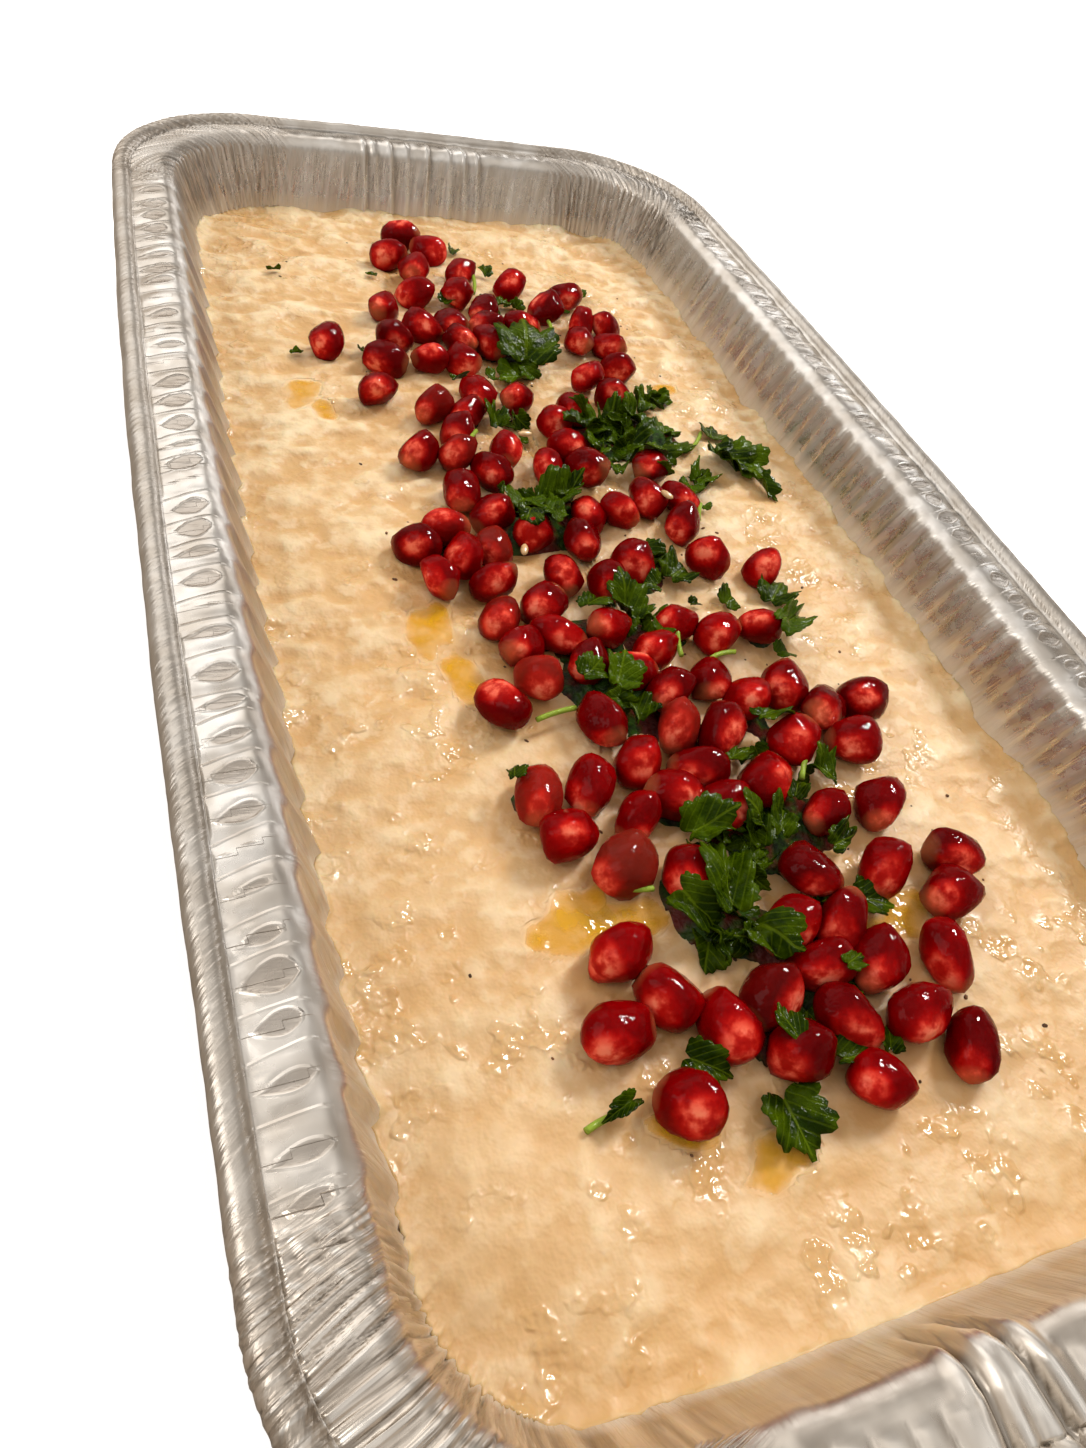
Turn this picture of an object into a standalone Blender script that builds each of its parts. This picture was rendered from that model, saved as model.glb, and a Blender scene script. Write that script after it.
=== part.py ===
"""Baba ganoush in a third-size foil tray, topped with pomegranate arils and parsley.

Metres, +Z up. The origin is the middle of the tray's base, on the surface that it stands on.
+Y runs along the tray's length and +X across it.
"""

import math

import bmesh
import bpy
from mathutils import Matrix, Vector
from mathutils.bvhtree import BVHTree

MM = 0.001

# The tray, a standard third-size pan: 324 mm long and 165 mm wide over its rolled rim.
TRAY_DEPTH = 40 * MM            # from the surface it stands on to the ridge round the mouth
RIDGE_HALF_WIDTH = 68.6 * MM    # half of the mouth, measured at that ridge
RIDGE_HALF_LENGTH = 148.4 * MM
RIDGE_CORNER_RADIUS = 22.6 * MM
SIDE_BOW = 3.0 * MM             # how far the soft long sides bow out in the middle
END_BOW = 1.4 * MM
WALL_DRAFT = math.radians(17)   # the walls lean out by this much
BASE_EDGE_RADIUS = 6 * MM
RIDGE_RADIUS = 2.5 * MM
FLANGE_WIDTH = 9.5 * MM
FLANGE_DROP = 1.1 * MM          # the flange falls by this much towards the rolled rim
CURL_RADIUS = 2.2 * MM
CURL_RISE = 0.7 * MM            # the rolled rim's top, over the ridge
CURL_SWEEP = math.radians(285)
FOIL = 0.35 * MM
FLUTE_DEPTH = 0.9 * MM          # the stiffening flutes that run up the long walls
PLEAT_DEPTH = 1.3 * MM          # the gathered folds in the corners

# What is in the tray.
GAP = 0.3 * MM
DIP_LEVEL = 23 * MM
DIP_WAVES = 1.5 * MM            # how far the spooned surface rises and falls
HEAP_HEIGHT = 10 * MM
ARIL_LENGTH = 10.5 * MM
ARIL_WIDTH = 8.2 * MM
LEAF_THICKNESS = 0.6 * MM

# How finely each line round the tray is cut: (long side, short side, corner) steps.
RIM_STEPS = (14, 5, 6)
WALL_STEPS = (52, 12, 10)
DIP_STEPS = (18, 6, 5)
CURL_STEPS = 7
RINGS_ON_DIP = 7
HEAP_STEPS_ALONG = 56
HEAP_STEPS_ACROSS = 9

# The heap of garnish: (distance along Y, left edge X, right edge X) in millimetres.
HEAP_STATIONS = [
    (-118, -11, 4),
    (-108, -18, 16),
    (-96, -19, 18),
    (-84, -21, 24),
    (-72, -23, 22),
    (-60, -24, 25),
    (-48, -23, 31),
    (-38, -24, 33),
    (-28, -34, 39),
    (-18, -28, 32),
    (-6, -30, 29),
    (4, -36, 30),
    (14, -29, 36),
    (28, -34, 37),
    (38, -25, 42),
    (52, -23, 41),
    (62, -31, 36),
    (74, -33, 37),
    (88, -28, 40),
    (98, -27, 36),
    (106, -20, 18),
    (116, -20, 10),
    (124, -20, 1),
    (132, -13, -5),
]

# Arils that lie apart from the heap: (X, Y) in millimetres, then their turn in degrees.
LONE_ARILS = [
    (-40, 70, 75),
    (-32, 50, 60),
    (39, -14, 35),
    (40, -53, 5),
    (33, -64, 150),
    (31, -79, 55),
    (37, -89, 165),
    (31, -99, 20),
    (25, -108, 100),
    (19, -121, 60),
    (3, -126, 160),
    (-25, -119, 155),
    (-32, -107, 0),
    (-28, -94, 30),
    (-32, -65, 100),
    (-31, -45, 60),
    (-36, -12, 80),
]

# Large parsley leaves that lie apart: (X, Y) in millimetres, turn in degrees, length in millimetres.
LONE_LEAVES = [
    (-13, -127, 80, 15),
    (51, 21, 290, 20),
]


def smooth(t):
    """0 below 0, 1 above 1, and a smooth rise between."""
    t = min(max(t, 0.0), 1.0)
    return t * t * (3 - 2 * t)


def bowed(point):
    """Moves a point of the ridge line out by the bow of the soft sides."""
    x = point.x * (1 + SIDE_BOW / RIDGE_HALF_WIDTH * (1 - (point.y / RIDGE_HALF_LENGTH) ** 2))
    y = point.y * (1 + END_BOW / RIDGE_HALF_LENGTH * (1 - (point.x / RIDGE_HALF_WIDTH) ** 2))
    return Vector((x, y))


def ridge_line(steps):
    """The line of the ridge from above, anticlockwise: (point, outward, place) for each step.

    The place is "side", "end" or "corner". The first step is on the +X side.
    """
    on_side, on_end, in_corner = steps
    straight_x = RIDGE_HALF_WIDTH - RIDGE_CORNER_RADIUS
    straight_y = RIDGE_HALF_LENGTH - RIDGE_CORNER_RADIUS
    corners = [(straight_x, straight_y), (-straight_x, straight_y)]
    corners += [(-straight_x, -straight_y), (straight_x, -straight_y)]
    line = []
    for quarter, corner in enumerate(corners):
        previous = Vector(corners[quarter - 1])
        centre = Vector(corner)
        out = Vector((math.cos(math.pi / 2 * quarter), math.sin(math.pi / 2 * quarter)))
        count, place = (on_side, "side") if quarter % 2 == 0 else (on_end, "end")
        for step in range(count):
            point = previous.lerp(centre, step / count) + out * RIDGE_CORNER_RADIUS
            line.append((bowed(point), out, place))
        for step in range(in_corner):
            angle = math.pi / 2 * (quarter + step / in_corner)
            turned = Vector((math.cos(angle), math.sin(angle)))
            line.append((bowed(centre + turned * RIDGE_CORNER_RADIUS), turned, "corner"))
    return line


def add_ring(bm, line, offset, height, folds=0.0):
    """A closed ring of edges at an offset from the ridge line. Folds push every other step in."""
    verts = []
    for index, (point, out, place) in enumerate(line):
        depth = {"side": FLUTE_DEPTH, "end": 0.0, "corner": PLEAT_DEPTH}[place]
        swing = folds * depth * (0.5 if index % 2 else -0.5)
        verts.append(bm.verts.new((*(point + out * (offset + swing)), height)))
    return [bm.edges.new((verts[k - 1], verts[k])) for k in range(len(verts))]


def join_rings(bm, rings):
    for lower, upper in zip(rings, rings[1:]):
        bmesh.ops.bridge_loops(bm, edges=lower + upper)


def arc(centre, radius, start, end, steps):
    """Points on an arc of the section, as (offset, height), from angle to angle."""
    angles = [start + (end - start) * k / steps for k in range(steps + 1)]
    return [(centre[0] + radius * math.cos(a), centre[1] + radius * math.sin(a)) for a in angles]


def wall_offset(height):
    """Where the wall's inner face is at a height, from the ridge line."""
    return (height - TRAY_DEPTH) * math.tan(WALL_DRAFT)


def base_edge(inset):
    """The arc that joins the floor to the wall, an inset inside the foil's inner face."""
    floor = FOIL
    lean = (1 - math.sin(WALL_DRAFT)) / math.cos(WALL_DRAFT)
    corner = wall_offset(floor)
    centre = (corner - BASE_EDGE_RADIUS * lean, floor + BASE_EDGE_RADIUS)
    return arc(centre, BASE_EDGE_RADIUS - inset, -math.pi / 2, -WALL_DRAFT, 3)


def ridge_arc():
    """Over the top of the wall on to the flange."""
    slope = math.atan2(FLANGE_DROP, FLANGE_WIDTH)
    reach = RIDGE_RADIUS * math.tan((math.pi / 2 - WALL_DRAFT + slope) / 2)
    start = (-math.sin(WALL_DRAFT) * reach, TRAY_DEPTH - math.cos(WALL_DRAFT) * reach)
    centre = (start[0] + math.cos(WALL_DRAFT) * RIDGE_RADIUS, start[1] - math.sin(WALL_DRAFT) * RIDGE_RADIUS)
    return arc(centre, RIDGE_RADIUS, math.pi - WALL_DRAFT, math.pi / 2 - slope, 3)


def curl_arc():
    """From the groove at the flange's edge round the rolled rim."""
    centre = (FLANGE_WIDTH + CURL_RADIUS, TRAY_DEPTH + CURL_RISE - CURL_RADIUS)
    groove = math.pi - math.asin((TRAY_DEPTH - FLANGE_DROP - centre[1]) / CURL_RADIUS)
    return arc(centre, CURL_RADIUS, groove, groove - CURL_SWEEP, CURL_STEPS)


def make_material(name, colour, roughness, metallic=0.0):
    material = bpy.data.materials.new(name)
    material.use_nodes = True
    shader = material.node_tree.nodes["Principled BSDF"]
    shader.inputs["Base Color"].default_value = (*colour, 1)
    shader.inputs["Roughness"].default_value = roughness
    shader.inputs["Metallic"].default_value = metallic
    return material


def add_object(name, bm, material):
    """Turns the faces the same way, outwards on a closed shape, and makes the object."""
    bmesh.ops.recalc_face_normals(bm, faces=bm.faces)
    if bm.calc_volume(signed=True) < 0:
        bmesh.ops.reverse_faces(bm, faces=bm.faces)
    mesh = bpy.data.meshes.new(name)
    bm.to_mesh(mesh)
    bm.free()
    mesh.materials.append(material)
    obj = bpy.data.objects.new(name, mesh)
    bpy.context.scene.collection.objects.link(obj)
    return obj


def make_tray(material):
    """One pressed sheet: floor, folded walls, ridge, flange and rolled rim, then its thickness."""
    rim, wall = ridge_line(RIM_STEPS), ridge_line(WALL_STEPS)
    bm = bmesh.new()
    rings = [add_ring(bm, rim, *point) for point in base_edge(0)]
    top = ridge_arc()[0][1]
    for share, folds in ((0.12, 0.9), (0.88, 1.0)):
        height = BASE_EDGE_RADIUS + (top - BASE_EDGE_RADIUS) * share
        rings.append(add_ring(bm, wall, wall_offset(height), height, folds))
    rings += [add_ring(bm, rim, *point) for point in ridge_arc() + curl_arc()]
    join_rings(bm, rings)
    bmesh.ops.contextual_create(bm, geom=rings[0])
    tray = add_object("foil_tray", bm, material)
    inner_face_up = tray.data.polygons[-1].normal.z > 0
    thick = tray.modifiers.new("foil", "SOLIDIFY")
    thick.thickness = FOIL
    thick.offset = -1 if inner_face_up else 1
    return tray


def edge_at(y, side):
    """The heap's left (1) or right (2) edge at a place along the tray."""
    for low, high in zip(HEAP_STATIONS, HEAP_STATIONS[1:]):
        if y <= high[0] * MM:
            share = smooth((y / MM - low[0]) / (high[0] - low[0]))
            return MM * (low[side] + (high[side] - low[side]) * share)
    return MM * HEAP_STATIONS[-1][side]


def bareness(x, y):
    """1 on the open dip and 0 under the heap, where the surface is flat."""
    beyond_ends = max(HEAP_STATIONS[0][0] * MM - y, y - HEAP_STATIONS[-1][0] * MM)
    outside = max(edge_at(y, 1) - x, x - edge_at(y, 2), beyond_ends)
    return smooth((outside - 9 * MM) / (10 * MM))


def dip_height(x, y):
    """The dip's spooned surface, in broad soft waves."""
    waves = math.sin(x / (8 * MM) + math.sin(y / (23 * MM)))
    waves += math.sin(y / (9 * MM) + 1.4 * math.sin(x / (17 * MM)))
    return DIP_LEVEL + DIP_WAVES / 2 * waves * bareness(x, y)


def make_dip(material):
    """The dip fills the tray from the floor to its level, a gap inside the foil.

    Returns its surface, for what rests on it.
    """
    line = ridge_line(DIP_STEPS)
    inset = GAP + FLUTE_DEPTH / 2
    edge = (wall_offset(DIP_LEVEL) - inset / math.cos(WALL_DRAFT), DIP_LEVEL)
    bm = bmesh.new()
    rings = [add_ring(bm, line, *point) for point in [*base_edge(inset), edge]]
    bmesh.ops.contextual_create(bm, geom=rings[0])
    spine_end = RIDGE_HALF_LENGTH - RIDGE_HALF_WIDTH
    for ring in range(1, RINGS_ON_DIP + 1):
        rings.append(add_ring(bm, line, *edge))
        for vert in {v for e in rings[-1] for v in e.verts}:
            spine = Vector((0, min(max(vert.co.y, -spine_end), spine_end), DIP_LEVEL))
            vert.co = vert.co.lerp(spine, 0.92 * ring / RINGS_ON_DIP)
            vert.co.z = dip_height(vert.co.x, vert.co.y)
    join_rings(bm, rings)
    bmesh.ops.contextual_create(bm, geom=rings[-1])
    bmesh.ops.triangulate(bm, faces=bm.faces)
    surface = BVHTree.FromBMesh(bm)
    add_object("dip", bm, material)
    return surface


def heap_height(across, y):
    """The heap's height at -1 to 1 of its width, with bumps the size of arils."""
    ends = smooth((y / MM + 120) / 16) * smooth((134 - y / MM) / 24)
    dome = math.sqrt(max(0.0, 1 - across * across))
    bumps = 0.16 * math.sin(8 * across + y / (5 * MM)) * math.sin(y / (3.7 * MM) + 3 * across)
    return HEAP_HEIGHT * (0.4 + 0.6 * ends) * dome * (0.86 + bumps)


def make_heap(material):
    """The heap of arils and parsley: a low ridge with an uneven outline and a flat underside."""
    base, lip = DIP_LEVEL + GAP, 1.6 * MM
    low, high = HEAP_STATIONS[0][0] * MM, HEAP_STATIONS[-1][0] * MM
    bm = bmesh.new()
    steps = {"x_segments": HEAP_STEPS_ACROSS, "y_segments": HEAP_STEPS_ALONG}
    for vert in bmesh.ops.create_grid(bm, size=1, **steps)["verts"]:
        across, y = vert.co.x, low + (high - low) * (vert.co.y + 1) / 2
        left, right = edge_at(y, 1), edge_at(y, 2)
        x = (left + right) / 2 + across * (right - left) / 2
        vert.co = (x, y, base + lip + heap_height(across, y))
    outline = [e for e in bm.edges if e.is_boundary]
    skirt = bmesh.ops.extrude_edge_only(bm, edges=outline)["geom"]
    for vert in [g for g in skirt if isinstance(g, bmesh.types.BMVert)]:
        vert.co.z = base
    bmesh.ops.contextual_create(bm, geom=[g for g in skirt if isinstance(g, bmesh.types.BMEdge)])
    bmesh.ops.triangulate(bm, faces=bm.faces)
    return add_object("garnish_heap", bm, material)


def set_down(bm, surface, x, y, turn):
    """Turns a small piece, moves it to its place and lowers it to a gap above the surface."""
    bm.transform(Matrix.Translation((x * MM, y * MM, 0)) @ Matrix.Rotation(math.radians(turn), 4, "Z"))
    lift = -1.0
    for vert in bm.verts:
        below = surface.ray_cast(Vector((vert.co.x, vert.co.y, 1)), Vector((0, 0, -1)))[0]
        lift = max(lift, below.z + GAP - vert.co.z)
    bm.transform(Matrix.Translation((0, 0, lift)))


def make_lone_aril(number, x, y, turn, surface, material):
    """A pomegranate aril: a plump drop, blunt at one end, with a few soft flats on its sides."""
    bm = bmesh.new()
    bmesh.ops.create_icosphere(bm, subdivisions=2, radius=1)
    for vert in bm.verts:
        along = vert.co.x
        around = math.atan2(vert.co.z, vert.co.y)
        girth = (1 - 0.2 * along - 0.1 * along * along) * (1 + 0.05 * math.cos(5 * around))
        vert.co = Vector((ARIL_LENGTH * along, ARIL_WIDTH * girth * vert.co.y, ARIL_WIDTH * girth * vert.co.z)) / 2
    set_down(bm, surface, x, y, turn)
    add_object(f"aril_{number:02}", bm, material)


def make_lone_leaf(number, x, y, turn, length, surface, material):
    """A flat parsley leaf with rounded lobes that are toothed along their edge."""
    bm = bmesh.new()
    bmesh.ops.create_circle(bm, cap_ends=True, segments=48, radius=1)
    for vert in bm.verts:
        angle = math.atan2(vert.co.y, vert.co.x)
        lobes = 0.74 + 0.2 * math.cos(3 * angle) + 0.07 * math.cos(12 * angle)
        vert.co *= lobes * length * MM / 2
    grown = bmesh.ops.extrude_face_region(bm, geom=bm.faces[:])["geom"]
    top = [g for g in grown if isinstance(g, bmesh.types.BMVert)]
    bmesh.ops.translate(bm, verts=top, vec=(0, 0, LEAF_THICKNESS))
    set_down(bm, surface, x, y, turn)
    add_object(f"parsley_leaf_{number}", bm, material)


def main():
    for obj in list(bpy.data.objects):
        bpy.data.objects.remove(obj)
    foil = make_material("foil", (0.80, 0.78, 0.76), 0.28, 1.0)
    cream = make_material("dip", (0.82, 0.62, 0.36), 0.35)
    red = make_material("pomegranate", (0.42, 0.01, 0.02), 0.15)
    green = make_material("parsley", (0.06, 0.20, 0.02), 0.4)
    make_tray(foil)
    surface = make_dip(cream)
    make_heap(red)
    for number, aril in enumerate(LONE_ARILS, 1):
        make_lone_aril(number, *aril, surface, red)
    for number, leaf in enumerate(LONE_LEAVES, 1):
        make_lone_leaf(number, *leaf, surface, green)


main()
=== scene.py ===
# %% [markdown]
# # Baba ganoush in a foil tray
# A shallow third-size foil pan is filled with smoky aubergine dip and topped, down its middle,
# with pomegranate arils, chopped parsley and pools of olive oil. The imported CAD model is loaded
# first. It says where everything is, and each piece made here is laid on it.

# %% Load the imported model
import math
import random

import bmesh
import bpy
import numpy as np
from mathutils import Matrix, Vector, noise


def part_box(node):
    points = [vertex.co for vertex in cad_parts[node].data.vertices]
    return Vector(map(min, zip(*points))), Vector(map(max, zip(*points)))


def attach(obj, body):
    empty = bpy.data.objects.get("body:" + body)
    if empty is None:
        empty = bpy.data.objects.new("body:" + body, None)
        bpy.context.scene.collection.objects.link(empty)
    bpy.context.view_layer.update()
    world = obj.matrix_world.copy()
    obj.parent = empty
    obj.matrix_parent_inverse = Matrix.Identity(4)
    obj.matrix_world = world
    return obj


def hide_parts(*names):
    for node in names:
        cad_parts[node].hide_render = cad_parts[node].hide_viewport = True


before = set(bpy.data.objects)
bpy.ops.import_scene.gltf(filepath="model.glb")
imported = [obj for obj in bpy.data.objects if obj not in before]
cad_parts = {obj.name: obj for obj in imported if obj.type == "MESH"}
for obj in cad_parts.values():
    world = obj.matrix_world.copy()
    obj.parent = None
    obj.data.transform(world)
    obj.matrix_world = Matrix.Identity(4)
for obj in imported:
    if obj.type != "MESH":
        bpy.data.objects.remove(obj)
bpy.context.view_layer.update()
MM = 0.001
tray_low, tray_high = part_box("foil_tray")
dip_low, dip_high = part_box("dip")
heap_low, heap_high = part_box("garnish_heap")
print("tray in mm:", [round(v / MM, 1) for v in tray_high - tray_low])

# %% [markdown]
# ## Camera
# The camera looks down the tray from over its left side, close to it and with a wide lens, so
# the near end is large and the far end small. A camera can be aimed with a Track To
# constraint, but this one is also rolled, so its two axes are given instead, and the
# rotation follows from them.

# %% Camera
RIDGE_Z = 40.0  # the ridge round the mouth, in millimetres over the base


def add_camera(place, forward, right, lens):
    forward, right = Vector(forward).normalized(), Vector(right).normalized()
    up = right.cross(forward)
    turn = Matrix((right, up, -forward)).transposed().to_4x4()
    camera = bpy.data.objects.new("camera", bpy.data.cameras.new("camera"))
    camera.data.lens = lens
    camera.data.sensor_width = 36
    camera.data.clip_start = 0.01
    camera.matrix_world = Matrix.Translation(Vector(place) * MM) @ turn
    bpy.context.scene.collection.objects.link(camera)
    bpy.context.scene.camera = camera
    return camera


camera = add_camera(
    place=(-81.9, -143.8, RIDGE_Z + 107.9),
    forward=(0.348, 0.5711, -0.7435),
    right=(0.9312, -0.3024, 0.2036),
    lens=23.97,
)
print("camera at", [round(v, 3) for v in camera.location])

# %% [markdown]
# ## The line of the tray's mouth
# Every ring of the tray follows one line, the ridge where the wall turns over into the flange.
# It is a rounded rectangle whose sides bow out a little under the weight of the dip. The steps
# along it are closer together in the corners, where the foil is gathered into fine pleats.

# %% Ridge line
HALF_WIDTH, HALF_LENGTH, CORNER_RADIUS = 68.6, 148.4, 22.6
SIDE_BOW, END_BOW = 3.0, 1.4
CORNER_ARC = CORNER_RADIUS * math.pi / 2


def ridge_line(on_side, on_end, in_corner):
    """Steps round the ridge line in mm: place, outward normal, and where each step lies.

    "side" counts quarters from +X anticlockwise. "along" is the distance from the middle of that
    side. "corner" is the distance from the middle of the nearest corner, signed.
    """
    rows = []
    straight_x, straight_y = HALF_WIDTH - CORNER_RADIUS, HALF_LENGTH - CORNER_RADIUS
    centres = [(straight_x, straight_y), (-straight_x, straight_y)]
    centres += [(-straight_x, -straight_y), (straight_x, -straight_y)]
    for quarter in range(4):
        before, centre = Vector(centres[quarter - 1]), Vector(centres[quarter])
        length, count = (centre - before).length, on_end if quarter % 2 else on_side
        turn = math.pi / 2 * quarter
        out = Vector((math.cos(turn), math.sin(turn)))
        for step in range(count):
            along = length * (step / count - 0.5)
            reach = length / 2 - abs(along) + CORNER_ARC / 2
            place = before.lerp(centre, step / count) + out * CORNER_RADIUS
            rows.append((*place, *out, quarter, along, reach if along < 0 else -reach))
        for step in range(in_corner):
            angle = turn + math.pi / 2 * step / in_corner
            out_here = Vector((math.cos(angle), math.sin(angle)))
            around = CORNER_ARC * (step / in_corner - 0.5)
            place = centre + out_here * CORNER_RADIUS
            along = length / 2 + CORNER_ARC * step / in_corner
            if step > in_corner / 2:
                along = -(centre - Vector(centres[(quarter + 1) % 4])).length / 2 - CORNER_ARC / 2 + around
            side = (quarter + (step > in_corner / 2)) % 4
            rows.append((*place, *out_here, side, along, around))
    table = np.array(rows)
    line = dict(zip(("x", "y", "nx", "ny", "side", "along", "corner"), table.T))
    bow_x = 1 + SIDE_BOW / HALF_WIDTH * (1 - (line["y"] / HALF_LENGTH) ** 2)
    bow_y = 1 + END_BOW / HALF_LENGTH * (1 - (line["x"] / HALF_WIDTH) ** 2)
    line["x"], line["y"] = line["x"] * bow_x, line["y"] * bow_y
    gaps = np.hypot(line["x"] - np.roll(line["x"], 1), line["y"] - np.roll(line["y"], 1))
    gaps[0] = 0
    line["run"] = np.cumsum(gaps)
    line["total"] = line["run"][-1] + math.hypot(line["x"][0] - line["x"][-1], line["y"][0] - line["y"][-1])
    return line


tray_line = ridge_line(288, 190, 126)
print(len(tray_line["x"]), "steps round a ridge of", round(tray_line["total"]), "mm")

# %% [markdown]
# ## The tray's section
# Cut across, the tray is a floor, a curved base edge, a leaning wall, a rounded ridge, a flange
# that falls a little, and a rolled rim. The section is walked once over the inside and then
# back along the outside, one thickness of foil away, so the tray is one closed shell.

# %% Section
DRAFT = math.radians(17)
BASE_RADIUS, RIDGE_RADIUS = 6.0, 3.4
FLANGE_WIDTH, FLANGE_DROP = 9.5, 1.1
CURL_RADIUS, CURL_RISE, CURL_SWEEP = 2.2, 0.7, math.radians(285)
FOIL = 0.3


def arc_points(centre, radius, start, end, steps, inward=False):
    """(offset, height, normal offset, normal height) along an arc of the section."""
    points = []
    for angle in np.linspace(start, end, steps + 1):
        c, s = math.cos(angle), math.sin(angle)
        flip = -1 if inward else 1
        points.append((centre[0] + radius * c, centre[1] + radius * s, flip * c, flip * s))
    return points


def straight_points(first, last, steps):
    """Points between two ends of a straight stretch, without the ends themselves."""
    return [tuple(np.array(first) + (np.array(last) - np.array(first)) * k / steps) for k in range(1, steps)]


def section():
    """The inside's points from the floor to the end of the curl, each with its distance past the ridge."""
    lean = (1 - math.sin(DRAFT)) / math.cos(DRAFT)
    base_centre = ((FOIL - RIDGE_Z) * math.tan(DRAFT) - BASE_RADIUS * lean, FOIL + BASE_RADIUS)
    base = arc_points(base_centre, BASE_RADIUS, -math.pi / 2, -DRAFT, 3, inward=True)
    slope = math.atan2(FLANGE_DROP, FLANGE_WIDTH)
    reach = RIDGE_RADIUS * math.tan((math.pi / 2 - DRAFT + slope) / 2)
    start = (-math.sin(DRAFT) * reach, RIDGE_Z - math.cos(DRAFT) * reach)
    ridge_centre = (start[0] + math.cos(DRAFT) * RIDGE_RADIUS, start[1] - math.sin(DRAFT) * RIDGE_RADIUS)
    ridge = arc_points(ridge_centre, RIDGE_RADIUS, math.pi - DRAFT, math.pi / 2 - slope, 8)
    curl_centre = (FLANGE_WIDTH + CURL_RADIUS, RIDGE_Z + CURL_RISE - CURL_RADIUS)
    groove = math.pi - math.asin((RIDGE_Z - FLANGE_DROP - curl_centre[1]) / CURL_RADIUS)
    curl = arc_points(curl_centre, CURL_RADIUS, groove, groove - CURL_SWEEP, 13)
    flange_end = (FLANGE_WIDTH - 0.15, RIDGE_Z - FLANGE_DROP + 0.02, *ridge[-1][2:])
    wall = straight_points(base[-1], ridge[0], 7)
    flange = straight_points(ridge[-1], flange_end, 12)
    points = [*base, *wall, *ridge, *flange, flange_end, *curl]
    past = np.cumsum([0.0] + [math.dist(a[:2], b[:2]) for a, b in zip(points, points[1:])])
    top = next(k for k, point in enumerate(points) if point == ridge[4])
    return [(*point, distance - past[top]) for point, distance in zip(points, past)]


inside = section()
print(len(inside), "rings inside, from", round(inside[0][4]), "to", round(inside[-1][4]), "mm past the ridge")

# %% [markdown]
# ## Folds pressed and crumpled into the foil
# Thin foil is stiffened by its folds. They could be sculpted by hand, but here each kind is a
# height along the sheet's normal, worked out from how far round the tray a point lies ("run")
# and how far past the ridge it is ("past", negative on the wall). All of them add up in one
# function, so the inside and the outside of the sheet move together. Two small helpers come
# first: a soft step, and a soft band between two values.

# %% Soft steps
def smooth(t):
    """0 at 0 and below, 1 at 1 and above, and a soft curve between them."""
    t = min(max(t, 0.0), 1.0)
    return t * t * (3 - 2 * t)


def span(value, low, high, soft):
    """1 between low and high, falling softly to 0 beyond them."""
    return smooth((value - low) / soft + 0.5) * smooth((high - value) / soft + 0.5)


print("a soft step half way:", smooth(0.5))

# %% [markdown]
# ## Flutes up the long walls
# The press forms flutes that run up the long walls. Each swells slowly and then steps back, like
# boards that overlap on a house. They are wider on the left wall than on the right.

# %% Flutes
FLUTE_PITCH = 9.7


def flutes(run, past, side):
    """The height of the flutes of the long walls."""
    phase = (run + 0.8 * noise.noise((run / 23, 7.0, 0.0))) / FLUTE_PITCH * (2 if side == 0 else 1)
    share = phase % 1.0
    depth = (0.75 if side == 0 else 1.1) + 0.5 * noise.noise((math.floor(phase) * 3.7, 1.5, 0.0))
    swell = smooth(share / 0.85) if share < 0.85 else 1 - smooth((share - 0.85) / 0.15)
    fine = 0.28 * noise.noise((run / 1.4, past / 40, 12.0)) * span(past, -34, -3, 6)
    return (depth * (swell - 0.45) + fine) * span(past, -36, -2.2, 4)


print("flutes every", FLUTE_PITCH, "mm on the left wall")

# %% [markdown]
# ## Pads and creases across the flange
# The long flanges are pressed into small cells. A crease crosses the flange between each two
# cells, and inside each cell lies a sunk pad in the form of a leaf. No two are quite alike, so
# each cell has its own draw of a lean, a place and a size.

# %% Pads and creases
PAD_PITCH = 6.2
PAD_MIDDLE = 4.9  # how far past the ridge a pad's middle lies
cell_rng = random.Random(17)
CELLS = [
    # (jitter and lean of the crease, middle of the pad in its cell, half width, half length)
    (cell_rng.uniform(-0.24, 0.24), cell_rng.uniform(0.08, 0.3), cell_rng.uniform(0.42, 0.6),
     cell_rng.choice((0.0, 0.7, 1.1, 1.5, 1.8, 2.1)), cell_rng.uniform(2.9, 4.1))
    for _ in range(150)
]


def crease_run(number, past):
    """Where a numbered crease of the flange lies: it leans, and bends as it goes over the ridge."""
    jitter, lean, *_ = CELLS[number % len(CELLS)]
    return (number + jitter) * PAD_PITCH + lean * (past - 5.0) + 0.1 * max(0.0, 2.5 - past) ** 2


def crease_off(run, past):
    """The distance in mm from the nearest crease of the flange, signed."""
    number = round(run / PAD_PITCH)
    return min((run - crease_run(k, past) for k in (number - 1, number, number + 1)), key=abs)


def pad_inside(run, past):
    """How far a point lies inside the nearest sunk pad, in mm; it is negative between the pads."""
    number, best = math.floor(run / PAD_PITCH), -3.0
    for k in (number - 1, number, number + 1):
        _, _, middle, half, reach = CELLS[k % len(CELLS)]
        centre = crease_run(k, past) * (1 - middle) + crease_run(k + 1, past) * middle
        across = (past - PAD_MIDDLE) / reach
        width = half * (1 - across * across) * (1 - 0.45 * across)
        best = max(best, width - abs(run - centre))
    return best


print(len(CELLS), "cells drawn for the flange")

# %% [markdown]
# ## Pleats in the corners
# A flat sheet has too much metal for a corner, and the spare metal gathers into sharp pleats. On
# the wall they run straight down, and over the flange they drift sideways. In the near left
# corner they lie side by side across the arc instead of fanning out, and then open out into
# wider, smoother waves.

# %% Pleats
NEAR_LEFT_SLANT = math.radians(22)


def in_near_left(x, y):
    return x < 0 and y < 0


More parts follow.
